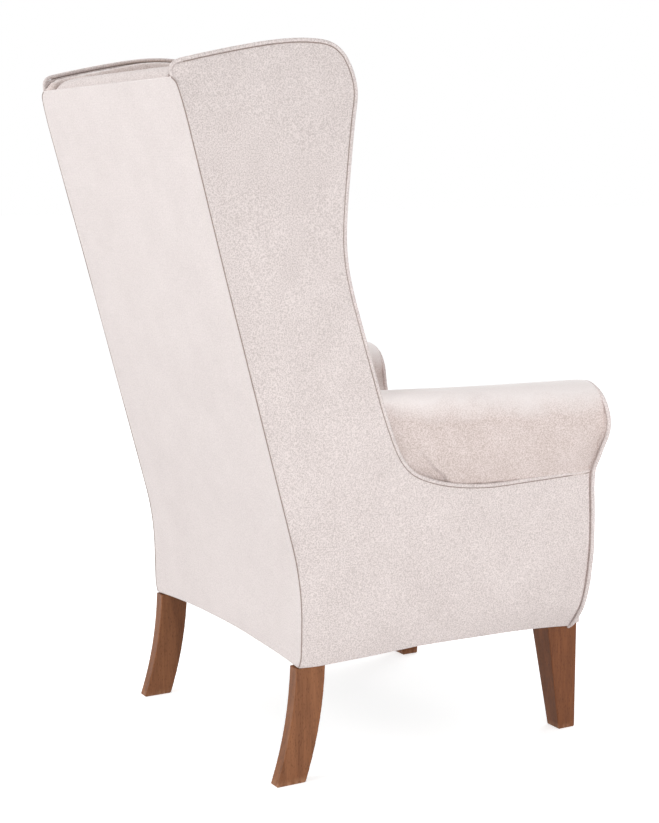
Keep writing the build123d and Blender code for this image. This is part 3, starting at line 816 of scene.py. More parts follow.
@dataclass(frozen=True)
class ChairLines:
    """Lines of the frame that the covers follow, in millimetres."""

    depth: float = 760.0
    back_height: float = 1100.0
    arm_height: float = 620.0
    skirt: float = 190.0
    rake_angle: float = math.radians(14.7)
    rake_start: float = 268.0
    rake_radius: float = 476.0
    face_setback: float = 30.5
    face_lean: float = 0.07
    rear_cover: float = 278.8
    front_cover: float = 278.0
    post_inset: float = 6.3
    overrun: float = 20.0
    rail_top: float = 460.0
    swell: tuple[Point3, ...] = (
        (180.0, -1.0, -2.0), (194.0, 1.5, 9.0), (230.0, 4.5, 37.0), (290.0, 6.0, 59.0),
        (350.0, 6.0, 71.0), (460.0, 5.5, 77.0), (600.0, 5.5, 68.0), (700.0, 5.0, 42.0),
        (800.0, 4.5, 23.0), (1000.0, 6.5, 7.0), (1050.0, 6.5, 3.0), (1090.0, 2.0, -1.0),
        (1166.0, -14.0, -7.0),
    )
    tuck: tuple[Point2, ...] = (
        (189.0, 8.0), (193.0, 5.0), (199.0, 2.2), (210.0, 0.0), (1078.0, 0.0), (1090.0, 1.5),
        (1096.0, 8.0), (1100.0, 16.5), (1110.0, 18.0),
    )
    tuck_reach: float = 45.0
    wing_edge: tuple[Point2, ...] = (
        (379.0, 1099.0), (381.0, 1108.0), (379.0, 1117.0), (371.0, 1124.0), (352.0, 1129.5),
        (326.0, 1135.5), (274.0, 1146.5), (222.0, 1156.0), (180.0, 1161.0), (150.0, 1162.0),
        (124.0, 1160.0), (108.0, 1154.5), (94.0, 1143.0), (84.0, 1126.0), (77.5, 1106.0),
        (75.0, 1085.0), (77.0, 1066.0), (81.0, 1046.0), (89.5, 975.0), (96.0, 905.0), (97.5, 855.0),
        (94.0, 815.0), (84.5, 770.0), (75.0, 735.0), (63.0, 690.0), (33.5, 581.0),
    )
    corner_rim: tuple[Point2, ...] = (
        (378.0, 1098.5), (378.5, 1107.0), (374.8, 1114.0), (367.5, 1118.0),
    )
    corner_end: float = 356.0
    neck: tuple[Point2, ...] = (
        (26.0, 57.0), (45.0, 35.0), (72.0, 21.5), (117.0, 10.0), (177.0, 5.0), (247.0, 8.5),
    )
    neck_front: float = 16.0
    facing_seam: tuple[Point2, ...] = (
        (274.0, 187.0), (286.0, 195.0), (299.0, 210.0), (313.0, 229.0), (323.0, 250.0), (333.0, 278.0),
        (339.0, 304.0), (345.5, 335.0), (351.0, 395.0), (354.0, 457.0), (359.0, 479.0), (371.0, 499.0),
        (385.0, 523.0), (396.0, 541.0), (401.0, 560.0), (398.5, 577.0), (390.0, 595.0), (375.0, 609.0),
        (355.0, 617.5), (338.0, 617.0), (320.0, 611.0), (305.0, 599.0), (296.5, 583.0), (293.5, 563.0),
        (292.0, 545.0), (287.0, 520.0), (280.0, 490.0), (277.0, 465.0), (276.0, 420.0), (276.0, 330.0),
        (276.0, 205.0),
    )

    @property
    def front_y(self) -> float:
        """Depth of the chair's front."""
        return -self.depth / 2

    @property
    def foot_y(self) -> float:
        """Depth of the back line at its foot."""
        rise = self.back_height - self.rake_start - self.rake_radius * math.sin(self.rake_angle)
        bend = self.rake_radius * (1 - math.cos(self.rake_angle))
        return self.depth / 2 - bend - rise * math.tan(self.rake_angle)

    def back_y(self, height: float, inset: float = 0.0) -> float:
        """Depth of the back line at a height.

        Args:
            height: Height above the floor.
            inset: Distance in front of the line.

        Returns:
            Depth, larger towards the back.
        """
        radius = self.rake_radius + inset
        limit = radius * math.sin(self.rake_angle)
        rise = min(max(height - self.rake_start, 0.0), limit)
        bend = self.foot_y + self.rake_radius - math.sqrt(radius**2 - rise**2)
        return bend + max(height - self.rake_start - limit, 0.0) * math.tan(self.rake_angle)

    def face_y(self, height: float) -> float:
        """Depth of the arm fronts' leaning plane at a height."""
        return self.front_y + self.face_setback + self.face_lean * (height - self.skirt)

    def swell_at(self, height: float) -> Point2:
        """Swell of the side cover at a height, at its rear and at its front.

        Args:
            height: Height above the floor.

        Returns:
            Rear swell and front swell.
        """
        knots = np.array([row[0] for row in self.swell])
        place = int(np.clip(np.searchsorted(knots, height) - 1, 0, len(knots) - 2))
        span = knots[place + 1] - knots[place]
        t = float(np.clip((height - knots[place]) / span, -0.5, 1.5))
        found = []
        for column in (1, 2):
            values = np.array([row[column] for row in self.swell])
            slopes = np.gradient(values, knots)
            found.append(
                (2 * t**3 - 3 * t**2 + 1) * values[place]
                + (t**3 - 2 * t**2 + t) * span * slopes[place]
                + (3 * t**2 - 2 * t**3) * values[place + 1]
                + (t**3 - t**2) * span * slopes[place + 1]
            )
        return found[0], found[1]

    def side_x(self, y: float, height: float) -> float:
        """Distance of the side cover's face from the middle plane.

        Args:
            y: Depth of the point.
            height: Height of the point.

        Returns:
            Distance from the middle plane.
        """
        rear_swell, front_swell = self.swell_at(height)
        rear_y = self.back_y(height, self.post_inset)
        front_y = self.face_y(height) - self.overrun
        share = (rear_y - y) / (rear_y - front_y)
        rear = self.rear_cover + rear_swell
        near = max(1.0 - max(self.back_y(height) - y, 0.0) / self.tuck_reach, 0.0)
        return rear + (self.front_cover + front_swell - rear) * share - self.tuck_at(height) * near**2

    def tuck_at(self, height: float) -> float:
        """How far the top corner of the back is drawn in at a height."""
        return float(np.interp(height, *zip(*self.tuck)))

    def corner_x(self, height: float) -> float:
        """Distance of the back's corner from the middle plane at a height."""
        return self.rear_cover + self.swell_at(height)[0] - self.tuck_at(height)

    def edge(self) -> np.ndarray:
        """Edge of the wing and the neck, from the back's top corner to the arm's front.

        Returns:
            Points (y, z) a few millimetres apart.
        """
        root = self.wing_edge[-1][0]
        neck = [(root - step, self.rail_top + rise) for step, rise in self.neck]
        front = self.rail_top + self.neck_front
        return spaced(through([*self.wing_edge, *neck, (self.face_y(front), front)]), 460)

    def panel_edge(self, inset: float) -> np.ndarray:
        """Edge of a panel inside the wing's edge, with a round top rear corner.

        Args:
            inset: Distance inside the wing's edge.

        Returns:
            Points (y, z) from the back's top corner to the arm's front.
        """
        edge = inset_line(self.edge(), inset)
        turned = int(np.argmax(edge[:, 0] < self.corner_end))
        rim = spaced(through([*self.corner_rim, tuple(edge[turned])]), 30)
        return np.vstack([rim[:-1], edge[turned:]])

    def on_side(self, line: np.ndarray, proud: float = 0.0) -> list[Point3]:
        """Lay a flat line on the side cover's face.

        Args:
            line: Points (y, z).
            proud: Distance outside the face.

        Returns:
            Points (x, y, z) on the left side.
        """
        return [(self.side_x(y, z) + proud, y, z) for y, z in line]


# Sub-assemblies


@dataclass
class Dresser:
    """Holds the frame, its lines and the built finishes."""

    frame: dict
    lines: ChairLines
    finishes: dict[Slot, Finish]
    # Paler copy of the outside cloth for the back: painted light
    lit_back_finish: Finish
    # Dark cord colour for the seam grooves: painted shadow
    seam_shadow_finish: Finish

    def nodes(self, *names: str) -> list[Piece]:
        """Objects of frame nodes by name."""
        return [self.frame["nodes"][name] for name in names]

    def hand_over(
        self,
        piece: Piece,
        slot: Slot,
        body: Body = Body.CHAIR,
        replaces: Sequence[str] = (),
        finish: Finish | None = None,
        fill: float | None = None,
    ) -> Piece:
        """Give a finished piece its material, its body and the nodes that it stands for.

        Args:
            piece: Finished piece.
            slot: Material slot of the record.
            body: Body that it rides on.
            replaces: Nodes that it stands for.
            finish: Material, if not the slot's own.
            fill: How full it is, if it is a pad; not used.

        Returns:
            The piece.
        """
        piece.data.materials.clear()
        piece.data.materials.append(finish or self.finishes[slot])
        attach(piece, body.value)
        if replaces:
            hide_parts(*replaces)
        LOG.info("%s: %d faces, rides on %s", piece.name, len(piece.data.polygons), body.value)
        return piece

    def hand_over_pair(self, left: Piece, slot: Slot, node: str = "", **details: object) -> None:
        """Mirror a left piece and hand over both sides.

        Args:
            left: Finished left piece.
            slot: Material slot of the record.
            node: Name of the node that each side stands for, without the side.
            details: Finish and fill of both, as hand_over takes them.
        """
        right = Bench.mirrored(left, left.name.replace("Left", "Right"))
        for piece, side in ((left, Side.LEFT), (right, Side.RIGHT)):
            replaced = [f"{node}_{side.value}"] if node else []
            self.hand_over(piece, slot, replaces=replaced, **details)


@dataclass
class OutsideCovers:
    """Outside back and the two outside sides."""

    dresser: Dresser
    thickness: float = 5.0
    rounding: float = 2.2
    edge_inset: float = 7.0
    corner_gap: float = 1.7
    back_crown: float = 5.0
    rear_skirt: float = 189.5
    back_arch: float = 13.0
    side_skirt: float = 197.0
    front_skirt: float = 187.0
    heel_shift: float = 4.0
    neck_below: float = 560.0
    crest_ahead: float = 34.0
    lower_rows: int = 52
    rear_columns: int = 44
    arm_columns: int = 46
    wing_rows: int = 96

    def back(self) -> Piece:
        """Model the outside back.

        Returns:
            The finished piece.
        """
        lines = self.dresser.lines
        rows = []
        for share in np.linspace(0.0, 1.0, 150):
            row = []
            for across in np.linspace(-1.0, 1.0, 89):
                low = self.rear_skirt + self.back_arch * (1 - across**2)
                height = low + share * (lines.back_height - 0.5 - low)
                crown = self.back_crown * (1 - across**4) * math.sin(math.pi * min(share * 1.02, 1.0)) ** 0.6
                half = lines.corner_x(height) - self.corner_gap
                row.append((across * half, lines.back_y(height, 0.4) + crown, height))
            rows.append(row)
        piece = Bench.grid("Outside_Back_Cover", rows)
        Bench.face_along(piece, (0.0, 1.0, 0.0))
        Bench.ripple(piece, 0.7, 90.0, 3.0)
        Bench.slab(piece, self.thickness, self.rounding)
        Bench.smooth(piece)
        # The back's paler copy of the cloth is painted light
        finish = self.dresser.lit_back_finish
        return self.dresser.hand_over(
            piece, Slot.COVER_OUTSIDE, replaces=["outside_back"], finish=finish, fill=0.3
        )

    def side_rows(self) -> tuple[np.ndarray, np.ndarray]:
        """Lay out the side cover below the neck and above it.

        Returns:
            Rows of points (y, z) of the lower part and of the wing.
        """
        lines = self.dresser.lines
        edge = lines.panel_edge(self.edge_inset)
        heel_y = lines.wing_edge[-1][0] - lines.neck[2][0] + self.heel_shift
        low_half = np.argmax(edge[:, 1] < self.neck_below)
        heel = low_half + int(np.argmin(np.abs(edge[low_half:, 0] - heel_y)))
        top_y = edge[np.argmax(edge[:, 1]), 0]
        crest = int(np.argmax(edge[:, 0] < top_y - self.crest_ahead))
        neck = spaced(edge[heel:], self.arm_columns + 1)
        junction = float(edge[heel, 1])
        lower = []
        for share in np.linspace(0.0, 1.0, self.lower_rows + 1):
            row = []
            for across in np.linspace(0.0, 1.0, self.rear_columns + 1):
                low = self.rear_skirt + (self.side_skirt - self.rear_skirt) * across**1.5
                height = low + share * (junction - low)
                rear = lines.back_y(height, self.corner_gap)
                row.append((rear + across * (edge[heel, 0] - rear), height))
            for step in range(1, self.arm_columns + 1):
                across = step / self.arm_columns
                low = self.side_skirt + (self.front_skirt - self.side_skirt) * across**4
                height = low + share * (neck[step, 1] - low)
                front = lines.face_y(height) + 1.0
                even = edge[heel, 0] + across * (front - edge[heel, 0])
                row.append((even + share**6 * (neck[step, 0] - even), height))
            lower.append(row)
        lower_rows = np.array(lower)
        bottom = lower_rows[-1, : self.rear_columns + 1]
        rear_line = [(lines.back_y(z, self.corner_gap), z) for z in np.linspace(junction, edge[0, 1], 60)]
        rear_line[-1] = tuple(edge[0])
        wing = patch(
            bottom,
            spaced(edge[: crest + 1], self.rear_columns + 1),
            spaced(rear_line, self.wing_rows + 1),
            spaced(edge[crest : heel + 1][::-1], self.wing_rows + 1),
        )
        return lower_rows, wing

    def side(self) -> Piece:
        """Model the left outside side: wing, side and arm in one cover.

        Returns:
            The finished left piece.
        """
        lines = self.dresser.lines
        grids = []
        for name, rows in zip(("Outside_Side_Cover_Left", "wing_part"), self.side_rows()):
            places = [[(lines.side_x(y, z), y, z) for y, z in row] for row in rows]
            grids.append(Bench.grid(name, places))
            Bench.face_along(grids[-1], (1.0, 0.0, 0.0))
        piece = Bench.join(grids, 0.2)
        Bench.ripple(piece, 0.8, 110.0, 8.0)
        Bench.slab(piece, self.thickness, self.rounding)
        Bench.smooth(piece)
        return piece

    def build(self) -> None:
        """Model and hand over the three covers."""
        self.back()
        self.dresser.hand_over_pair(self.side(), Slot.COVER_OUTSIDE, "outside_side", fill=0.3)


@dataclass
class Pipings:
    """Self piping along the wings, under the arm rolls and round the arm fronts."""

    dresser: Dresser
    radius: float = 3.2
    edge_inset: float = 3.1
    # Dark cords in the seam grooves, painted shadow
    seam_radius: float = 0.85
    seam_inset: float = 6.6
    seam_sink: float = 0.7
    seam_start: float = 362.0
    wing_sink: float = 1.6
    corner_sink: float = 1.1
    corner_foot: float = 191.0
    corner_head: float = 2.0
    facing_forward: float = 3.0
    facing_out: float = 3.0

    def wing(self) -> Piece:
        """Run the piping along the left wing and its neck."""
        lines = self.dresser.lines
        path = spaced(inset_line(lines.edge(), self.edge_inset), 260)
        return Bench.tube("Wing_Piping_Left", lines.on_side(path, -self.wing_sink), self.radius)

    def facing(self) -> Piece:
        """Run the piping round the left arm front."""
        lines = self.dresser.lines
        flat = inset_line(spaced(through(lines.facing_seam), 240), -self.facing_out)
        path = [(x, lines.face_y(z) - self.facing_forward, z) for x, z in flat]
        return Bench.tube("Arm_Front_Piping_Left", path, self.radius)

    def wing_seam_shadow(self) -> Piece:
        """Run a dark cord beside the left wing's piping: painted shadow in the seam's groove."""
        lines = self.dresser.lines
        edge = inset_line(lines.edge(), self.seam_inset)
        path = spaced(edge[int(np.argmax(edge[:, 0] < self.seam_start)) :], 260)
        return Bench.tube("Wing_Seam_Left", lines.on_side(path, -self.seam_sink), self.seam_radius)

    def corner_seam_shadow(self) -> Piece:
        """Run a dark cord down the left corner of the back: painted shadow in the seam's groove."""
        lines = self.dresser.lines
        sink = self.corner_sink
        heights = np.linspace(self.corner_foot, lines.back_height - self.corner_head, 200)
        path = [(lines.corner_x(z) - sink, lines.back_y(z, sink), z) for z in heights]
        return Bench.tube("Back_Corner_Seam_Left", path, self.seam_radius)

    def build(self) -> None:
        """Model and hand over the pipings of both sides, and the dark cords that paint the seams' shadow."""
        for left in (self.wing(), self.facing(), self.wing_seam_shadow(), self.corner_seam_shadow()):
            # Dark cords in the seam grooves get the painted shadow colour
            finish = self.dresser.seam_shadow_finish if "Seam" in left.name else None
            self.dresser.hand_over_pair(left, Slot.COVER_OUTSIDE, finish=finish)


@dataclass
class ArmPads:
    """Arm rolls and the scroll-shaped pads on the arm fronts."""

    dresser: Dresser
    # Cloth of the rolls: painted shade in a darker, pinker tone, and a painted highlight along the top
    shaded_roll_finish: Finish
    roll: PadSpec = PadSpec(voxel=5.0, shrink=0.0, cap=4.0, smooth=8)
    front: PadSpec = PadSpec(voxel=3.0, shrink=0.0, cap=3.5, smooth=4, fill=0.5)
    front_thickness: float = 9.0
    front_lift: float = 6.0
    rear_lift: float = 8.0
    front_push: float = 9.0
    lift_reach: float = 300.0
    push_rate: float = 5.0
    waist: float = 540.0
    upper_span: float = 60.0
    foot_span: float = 40.0
    foot_push: float = 6.0
    foot_inside: float = 310.0

    def arm_roll(self) -> Piece:
        """Model the left roll, full along its whole top."""
        lines = self.dresser.lines
        piece = Bench.copy_nodes(self.dresser.nodes("arm_pad_left"), "Arm_Roll_Left")
        Bench.inflate(piece, self.roll)
        front = lines.face_y(lines.arm_height)
        for vertex in piece.data.vertices:
            along = unit((vertex.co.y / MM - front) / self.lift_reach)
            vertex.co.y -= self.front_push * MM * max(1.0 - self.push_rate * along, 0.0)
            upper = unit((vertex.co.z / MM - self.waist) / self.upper_span)
            lower = unit((self.waist - vertex.co.z / MM) / self.foot_span)
            if vertex.co.x / MM > self.foot_inside:
                vertex.co.x += self.foot_push * MM * lower
            vertex.co.z += (self.front_lift + (self.rear_lift - self.front_lift) * along) * MM * upper
        piece.data.update()
        return piece

    def arm_front(self) -> Piece:
        """Model the left scroll-shaped front from its seam line."""
        lines = self.dresser.lines
        outline = spaced([*through(lines.facing_seam), lines.facing_seam[0]], 221)[:-1]
        Bench.clear_selection()
        bpy.ops.mesh.primitive_circle_add(vertices=len(outline), fill_type="NGON")
        piece = bpy.context.object
        piece.name = "Arm_Front_Left"
        piece.data.name = piece.name
        for vertex, (x, z) in zip(piece.data.vertices, outline):
            vertex.co = Vector((x, lines.face_y(z) - 0.2, z)) * MM
        piece.data.update()
        Bench.face_along(piece, (0.0, 1.0, 0.0))
        Bench.modify(piece, "SOLIDIFY", thickness=self.front_thickness * MM, offset=-1.0)
        Bench.inflate(piece, self.front)
        return piece

    def build(self) -> None:
        """Model and hand over the pads of both arms."""
        for node, left, spec, finish in (
            ("arm_pad", self.arm_roll(), self.roll, self.shaded_roll_finish),
            ("arm_facing", self.arm_front(), self.front, None),
        ):
            self.dresser.hand_over_pair(left, Slot.COVER_INSIDE, node, finish=finish, fill=spec.fill)


@dataclass
class WingPads:
    """Inside wings, wrapped round the front edge of the wing boards."""

    dresser: Dresser
    spec: PadSpec = PadSpec(voxel=5.0, shrink=-2.0, cap=3.0, smooth=6, fill=0.6)
    rim_inset: float = 7.0
    rim_width: float = 46.0
    rim_behind: float = 11.0
    rim_thickness: float = 14.0
    rim_start: float = 366.0
    rim_foot: float = 600.0
    corner_front: float = 285.0
    corner_foot: float = 1060.0
    corner_heights: Point2 = (1088.0, 1104.0)
    corner_insets: Point2 = (24.0, 6.0)
    corner_behind: float = 15.0

    def shell(self, name: str, rows: Sequence[Sequence[Point3]]) -> Piece:
        """Make a sheet of the rim's thickness behind the side cover.

        Args:
            name: Name of the piece.
            rows: Points in millimetres, the same number in each row.

        Returns:
            The closed piece.
        """
        piece = Bench.grid(name, rows)
        Bench.face_along(piece, (1.0, 0.0, 0.0))
        Bench.modify(piece, "SOLIDIFY", thickness=self.rim_thickness * MM, offset=-1.0)
        return piece

    def corner(self) -> Piece:
        """Model the pad that closes the left wing's top rear corner."""
        lines = self.dresser.lines
        edge = lines.panel_edge(self.rim_inset)
        upper = spaced(edge[: int(np.argmax(edge[:, 0] < self.corner_front)) + 1], 36)
        rows = []
        for share in np.linspace(0.0, 1.0, 9):
            heights = self.corner_foot + share * (upper[:, 1] - self.corner_foot)
            insets = np.interp(heights, self.corner_heights, self.corner_insets)
            depths = [min(y, lines.back_y(z, inset)) for y, z, inset in zip(upper[:, 0], heights, insets)]
            rows.append(lines.on_side(np.stack([depths, heights], axis=1), -self.corner_behind))
        return self.shell("corner", rows)

    def rim(self) -> Piece:
        """Model the padded rim that lines the left wing's edge."""
        lines = self.dresser.lines
        edge = lines.edge()
        edge = edge[int(np.argmax(edge[:, 0] < self.rim_start)) : int(np.argmax(edge[:, 1] < self.rim_foot))]
        rows = []
        for inset in np.linspace(self.rim_inset, self.rim_width, 9):
            line = spaced(inset_line(edge, inset), 160)
            rows.append(lines.on_side(line, -self.rim_behind))
        return self.shell("rim", rows)

    def build(self) -> None:
        """Model and hand over both inside wings."""
        pads = Bench.copy_nodes(self.dresser.nodes("inside_wing_left", "wing_board_left"), "Inside_Wing_Left")
        left = Bench.join([pads, self.rim(), self.corner()], 0.01)
        Bench.inflate(left, self.spec)
        self.dresser.hand_over_pair(left, Slot.COVER_INSIDE, "inside_wing", fill=self.spec.fill)


@dataclass
class BackPad:
    """Inside back and the strip over its top."""

    dresser: Dresser
    back: PadSpec = PadSpec(voxel=7.0, shrink=3.0, cap=8.0, smooth=8, fill=0.75)
    strip: PadSpec = PadSpec(voxel=4.0, shrink=-0.5, cap=3.0, smooth=6, fill=0.5)
    strip_rise: float = 5.0
    strip_end: float = 24.0
    pucker: float = 0.12
    pucker_pitch: float = 16.0

    def top_strip(self) -> Piece:
        """Model the strip that domes over the back's top between the wings."""
        low, high = (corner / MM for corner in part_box("back_top_strip"))
        piece = Bench.copy_nodes(self.dresser.nodes("back_top_strip"), "Back_Top_Strip")
        Bench.inflate(piece, self.strip)
        for vertex in piece.data.vertices:
            place = vertex.co / MM
            deep = unit((high.y - place.y) / (high.y - low.y))
            upper = unit((place.z - low.z) / (high.z - low.z))
            end = unit((high.x - abs(place.x)) / self.strip_end)
            pucker = 1.0 + self.pucker * noise.noise(Vector((place.x / self.pucker_pitch, 0.0, 2.0)))
            dome = math.sin(math.pi * (0.12 + 0.76 * deep)) ** 0.8
            taper = 0.35 + 0.65 * math.sin(end * math.pi / 2)
            vertex.co.z += self.strip_rise * MM * upper * dome * pucker * taper
        piece.data.update()
        return piece

    def build(self) -> None:
        """Model and hand over the inside back and its top strip."""
        back = Bench.copy_nodes(self.dresser.nodes("inside_back"), "Inside_Back")
        Bench.inflate(back, self.back)
        self.dresser.hand_over(back, Slot.COVER_INSIDE, replaces=["inside_back"], fill=self.back.fill)
        strip = self.top_strip()
        self.dresser.hand_over(strip, Slot.COVER_OUTSIDE, replaces=["back_top_strip"], fill=self.strip.fill)


@dataclass
class SeatCushion:
    """Loose seat cushion with piping along its upper and lower seams."""

    dresser: Dresser
    spec: PadSpec = PadSpec(voxel=6.0, shrink=2.5, cap=12.0, smooth=6, fill=0.8)
    piping_radius: float = 3.2
    seam_inset: float = 4.0
    corner_radius: float = 16.0
    draw: float = 5.0
    seam_reach: float = 9.0
    upper_band: float = 6.0
    lower_band: float = 7.0
    crown: float = 16.0

    def outline(self) -> np.ndarray:
        """Line of the cushion's seams seen from above.

        Returns:
            Points (x, y) of the closed line.
        """
        low, high = (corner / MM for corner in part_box("seat_cushion"))
        half = high.x - self.seam_inset
        front, rear = low.y + self.seam_inset, high.y - self.seam_inset
        turn = self.corner_radius
        points = []
        corners = [(half, front, -90.0), (half, rear, 0.0), (-half, rear, 90.0), (-half, front, 180.0)]
        for x, y, start in corners:
            centre = (x - math.copysign(turn, x), y - turn if y == rear else y + turn)
            for step in range(7):
                angle = math.radians(start + 15.0 * step)
                points.append((centre[0] + turn * math.cos(angle), centre[1] + turn * math.sin(angle)))
        line = spaced([*points, points[0]], 241)[:-1]
        middle = (front + rear) / 2
        across = np.clip(line[:, 0] / half, -1, 1)
        along = np.clip((line[:, 1] - middle) / ((rear - front) / 2), -1, 1)
        line[:, 0] -= np.sign(across) * self.draw * (1 - along**2) * np.abs(across) ** 6
        line[:, 1] -= np.sign(along) * self.draw * (1 - across**2) * np.abs(along) ** 6
        return line

    def build(self) -> None:
        """Model and hand over the cushion and its piping."""
        low, high = (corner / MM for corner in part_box("seat_cushion"))
        upper = high.z - self.crown
        line = self.outline()

        def seam(place: Vector) -> bool:
            """Say whether a point lies along a seam."""
            near = np.min(np.hypot(line[:, 0] - place.x, line[:, 1] - place.y)) < self.seam_reach
            at_height = abs(place.z - upper) < self.upper_band or place.z < low.z + self.lower_band
            return bool(near and at_height)

        cushion = Bench.copy_nodes(self.dresser.nodes("seat_cushion"), "Seat_Cushion")
        Bench.inflate(cushion, self.spec, seam)
        self.dresser.hand_over(
            cushion, Slot.COVER_INSIDE, Body.CUSHION, replaces=["seat_cushion"], fill=self.spec.fill
        )
        for name, height in (("Cushion_Piping_Upper", upper - 1.0), ("Cushion_Piping_Lower", low.z + 5.0)):
            path = [(x, y, height) for x, y in line]
            piping = Bench.tube(name, path, self.piping_radius, closed=True)
            self.dresser.hand_over(piping, Slot.COVER_INSIDE, Body.CUSHION)


@dataclass
class SeatPlatform:
    """Deck pad, front border and dust cover of the seat."""

    dresser: Dresser
    deck: PadSpec = PadSpec(voxel=6.0, shrink=1.5, cap=2.5, smooth=4, fill=0.6)
    border_thickness: float = 4.0
    border_turn: float = 6.0
    border_return: float = 22.0
    border_crown: float = 1.5
    border_rounding: float = 1.6
    sag: float = 2.0

    def border(self) -> Piece:
        """Model the front border with its returns round the legs."""
        lines = self.dresser.lines
        low, high = (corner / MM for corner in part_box("front_border"))
        turn = self.border_turn
        half = high.x
        profile = [(half, low.y + self.border_return), (half, low.y + turn)]
        profile += [
            (half - turn + turn * math.cos(a), low.y + turn - turn * math.sin(a))
            for a in np.linspace(0.2, math.pi / 2, 6)
        ]
        profile += [(x, low.y) for x in np.linspace(half - turn - 8.0, 0.0, 40)]
        profile += [(-x, y) for x, y in reversed(profile[:-1])]
        rows = []
        for share in np.linspace(0.0, 1.0, 24):
            height = low.z + share * (high.z - low.z)
            crown = self.border_crown * math.sin(math.pi * share)
            back = lines.face_y(height) - lines.face_y(low.z)
            row = []
            for x, y in profile:
                moved = y - crown * (abs(x) < half - turn) + (back if y > low.y + 10 else 0.0)
                row.append((x, moved, height))
            rows.append(row)
        piece = Bench.grid("Front_Border", rows)
        Bench.face_along(piece, (0.0, -1.0, 0.0))
        Bench.slab(piece, self.border_thickness, self.border_rounding)
        Bench.smooth(piece)
        return piece

    def dust_cover(self) -> Piece:
        """Model the dust cover, a stretched sheet that sags a little between the rails."""
        low, high = (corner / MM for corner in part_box("dust_cover"))
        legs = (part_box("front_leg_left")[1] / MM).y - 0.5
        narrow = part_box("front_seat_rail")[1].x / MM - 1.0
        grids = []
        for name, half, front, rear, steps in (
            ("Dust_Cover", high.x - 0.5, legs, high.y, 24),
            ("tab", narrow, low.y + 1.0, legs, 4),
        ):
            rows = []
            for y in np.linspace(front, rear, steps):
                row = []
                for across in np.linspace(-1.0, 1.0, 33):
                    along = (y - low.y) / (high.y - low.y)
                    drop = self.sag * (1 - across**2) * math.sin(math.pi * along)
                    row.append((across * half, y, high.z - 0.8 - drop))
                rows.append(row)
            grids.append(Bench.grid(name, rows))
            Bench.face_along(grids[-1], (0.0, 0.0, -1.0))
        piece = Bench.join(grids, 0.05)
        Bench.smooth(piece)
        return piece

    def build(self) -> None:
        """Model and hand over the deck, the border and the dust cover."""
        deck = Bench.copy_nodes(self.dresser.nodes("seat_deck"), "Seat_Deck")
        Bench.inflate(deck, self.deck)
        self.dresser.hand_over(deck, Slot.COVER_INSIDE, replaces=["seat_deck"], fill=self.deck.fill)
        self.dresser.hand_over(self.border(), Slot.COVER_OUTSIDE, replaces=["front_border"], fill=0.3)
        cover = self.dust_cover()
        self.dresser.hand_over(cover, Slot.DUST_CLOTH, replaces=["dust_cover"])


@dataclass
class Framework:
    """Wooden and steel nodes of the frame, which keep their shapes."""

    dresser: Dresser
    # Darker copy of the stained beech for the front legs: painted shade
    shaded_front_leg_finish: Finish
    slots: dict[Slot, tuple[str, ...]] = field(
        default_factory=lambda: {
            Slot.STAINED_BEECH: (
                "rear_leg_post_left",
                "rear_leg_post_right",
                "front_leg_left",
                "front_leg_right",
            ),
            Slot.STEEL: ("leg_bolts", "leg_bolt_nuts", "arm_post_screws", "seat_springs", "spring_clips"),
            Slot.DOWEL_BEECH: ("rail_dowels",),
            Slot.WEBBING: ("back_webbing",),
        }
    )

    def build(self) -> None:
        """Give every frame node its finish: plain beech where no other is named."""
        named = {name: slot for slot, names in self.slots.items() for name in names}
        for name, node in self.dresser.frame["nodes"].items():
            slot = named.get(name, Slot.FRAME_BEECH)
            node.data.materials.clear()
            # Front legs get the darker copy of the stained beech, painted shade
            front = name.startswith("front_leg")
            node.data.materials.append(self.shaded_front_leg_finish if front else self.dresser.finishes[slot])
        LOG.info("dressed %d frame nodes", len(self.dresser.frame["nodes"]))


@dataclass(frozen=True)
class SoftLight:
    """One large soft lamp that looks at the chair."""

    name: str
    place: Point3
    size: float
    power: float
    target: Point3 = (0.0, 0.0, 0.6)

    def build(self) -> None:
        """Add the lamp."""
        Bench.clear_selection()
        bpy.ops.object.light_add(type="AREA", location=self.place)
        lamp = bpy.context.object
        lamp.name = self.name
        lamp.data.shape = "DISK"
        lamp.data.size = self.size
        lamp.data.energy = self.power
        lamp.rotation_euler = (Vector(self.target) - Vector(self.place)).to_track_quat("-Z", "Y").to_euler()


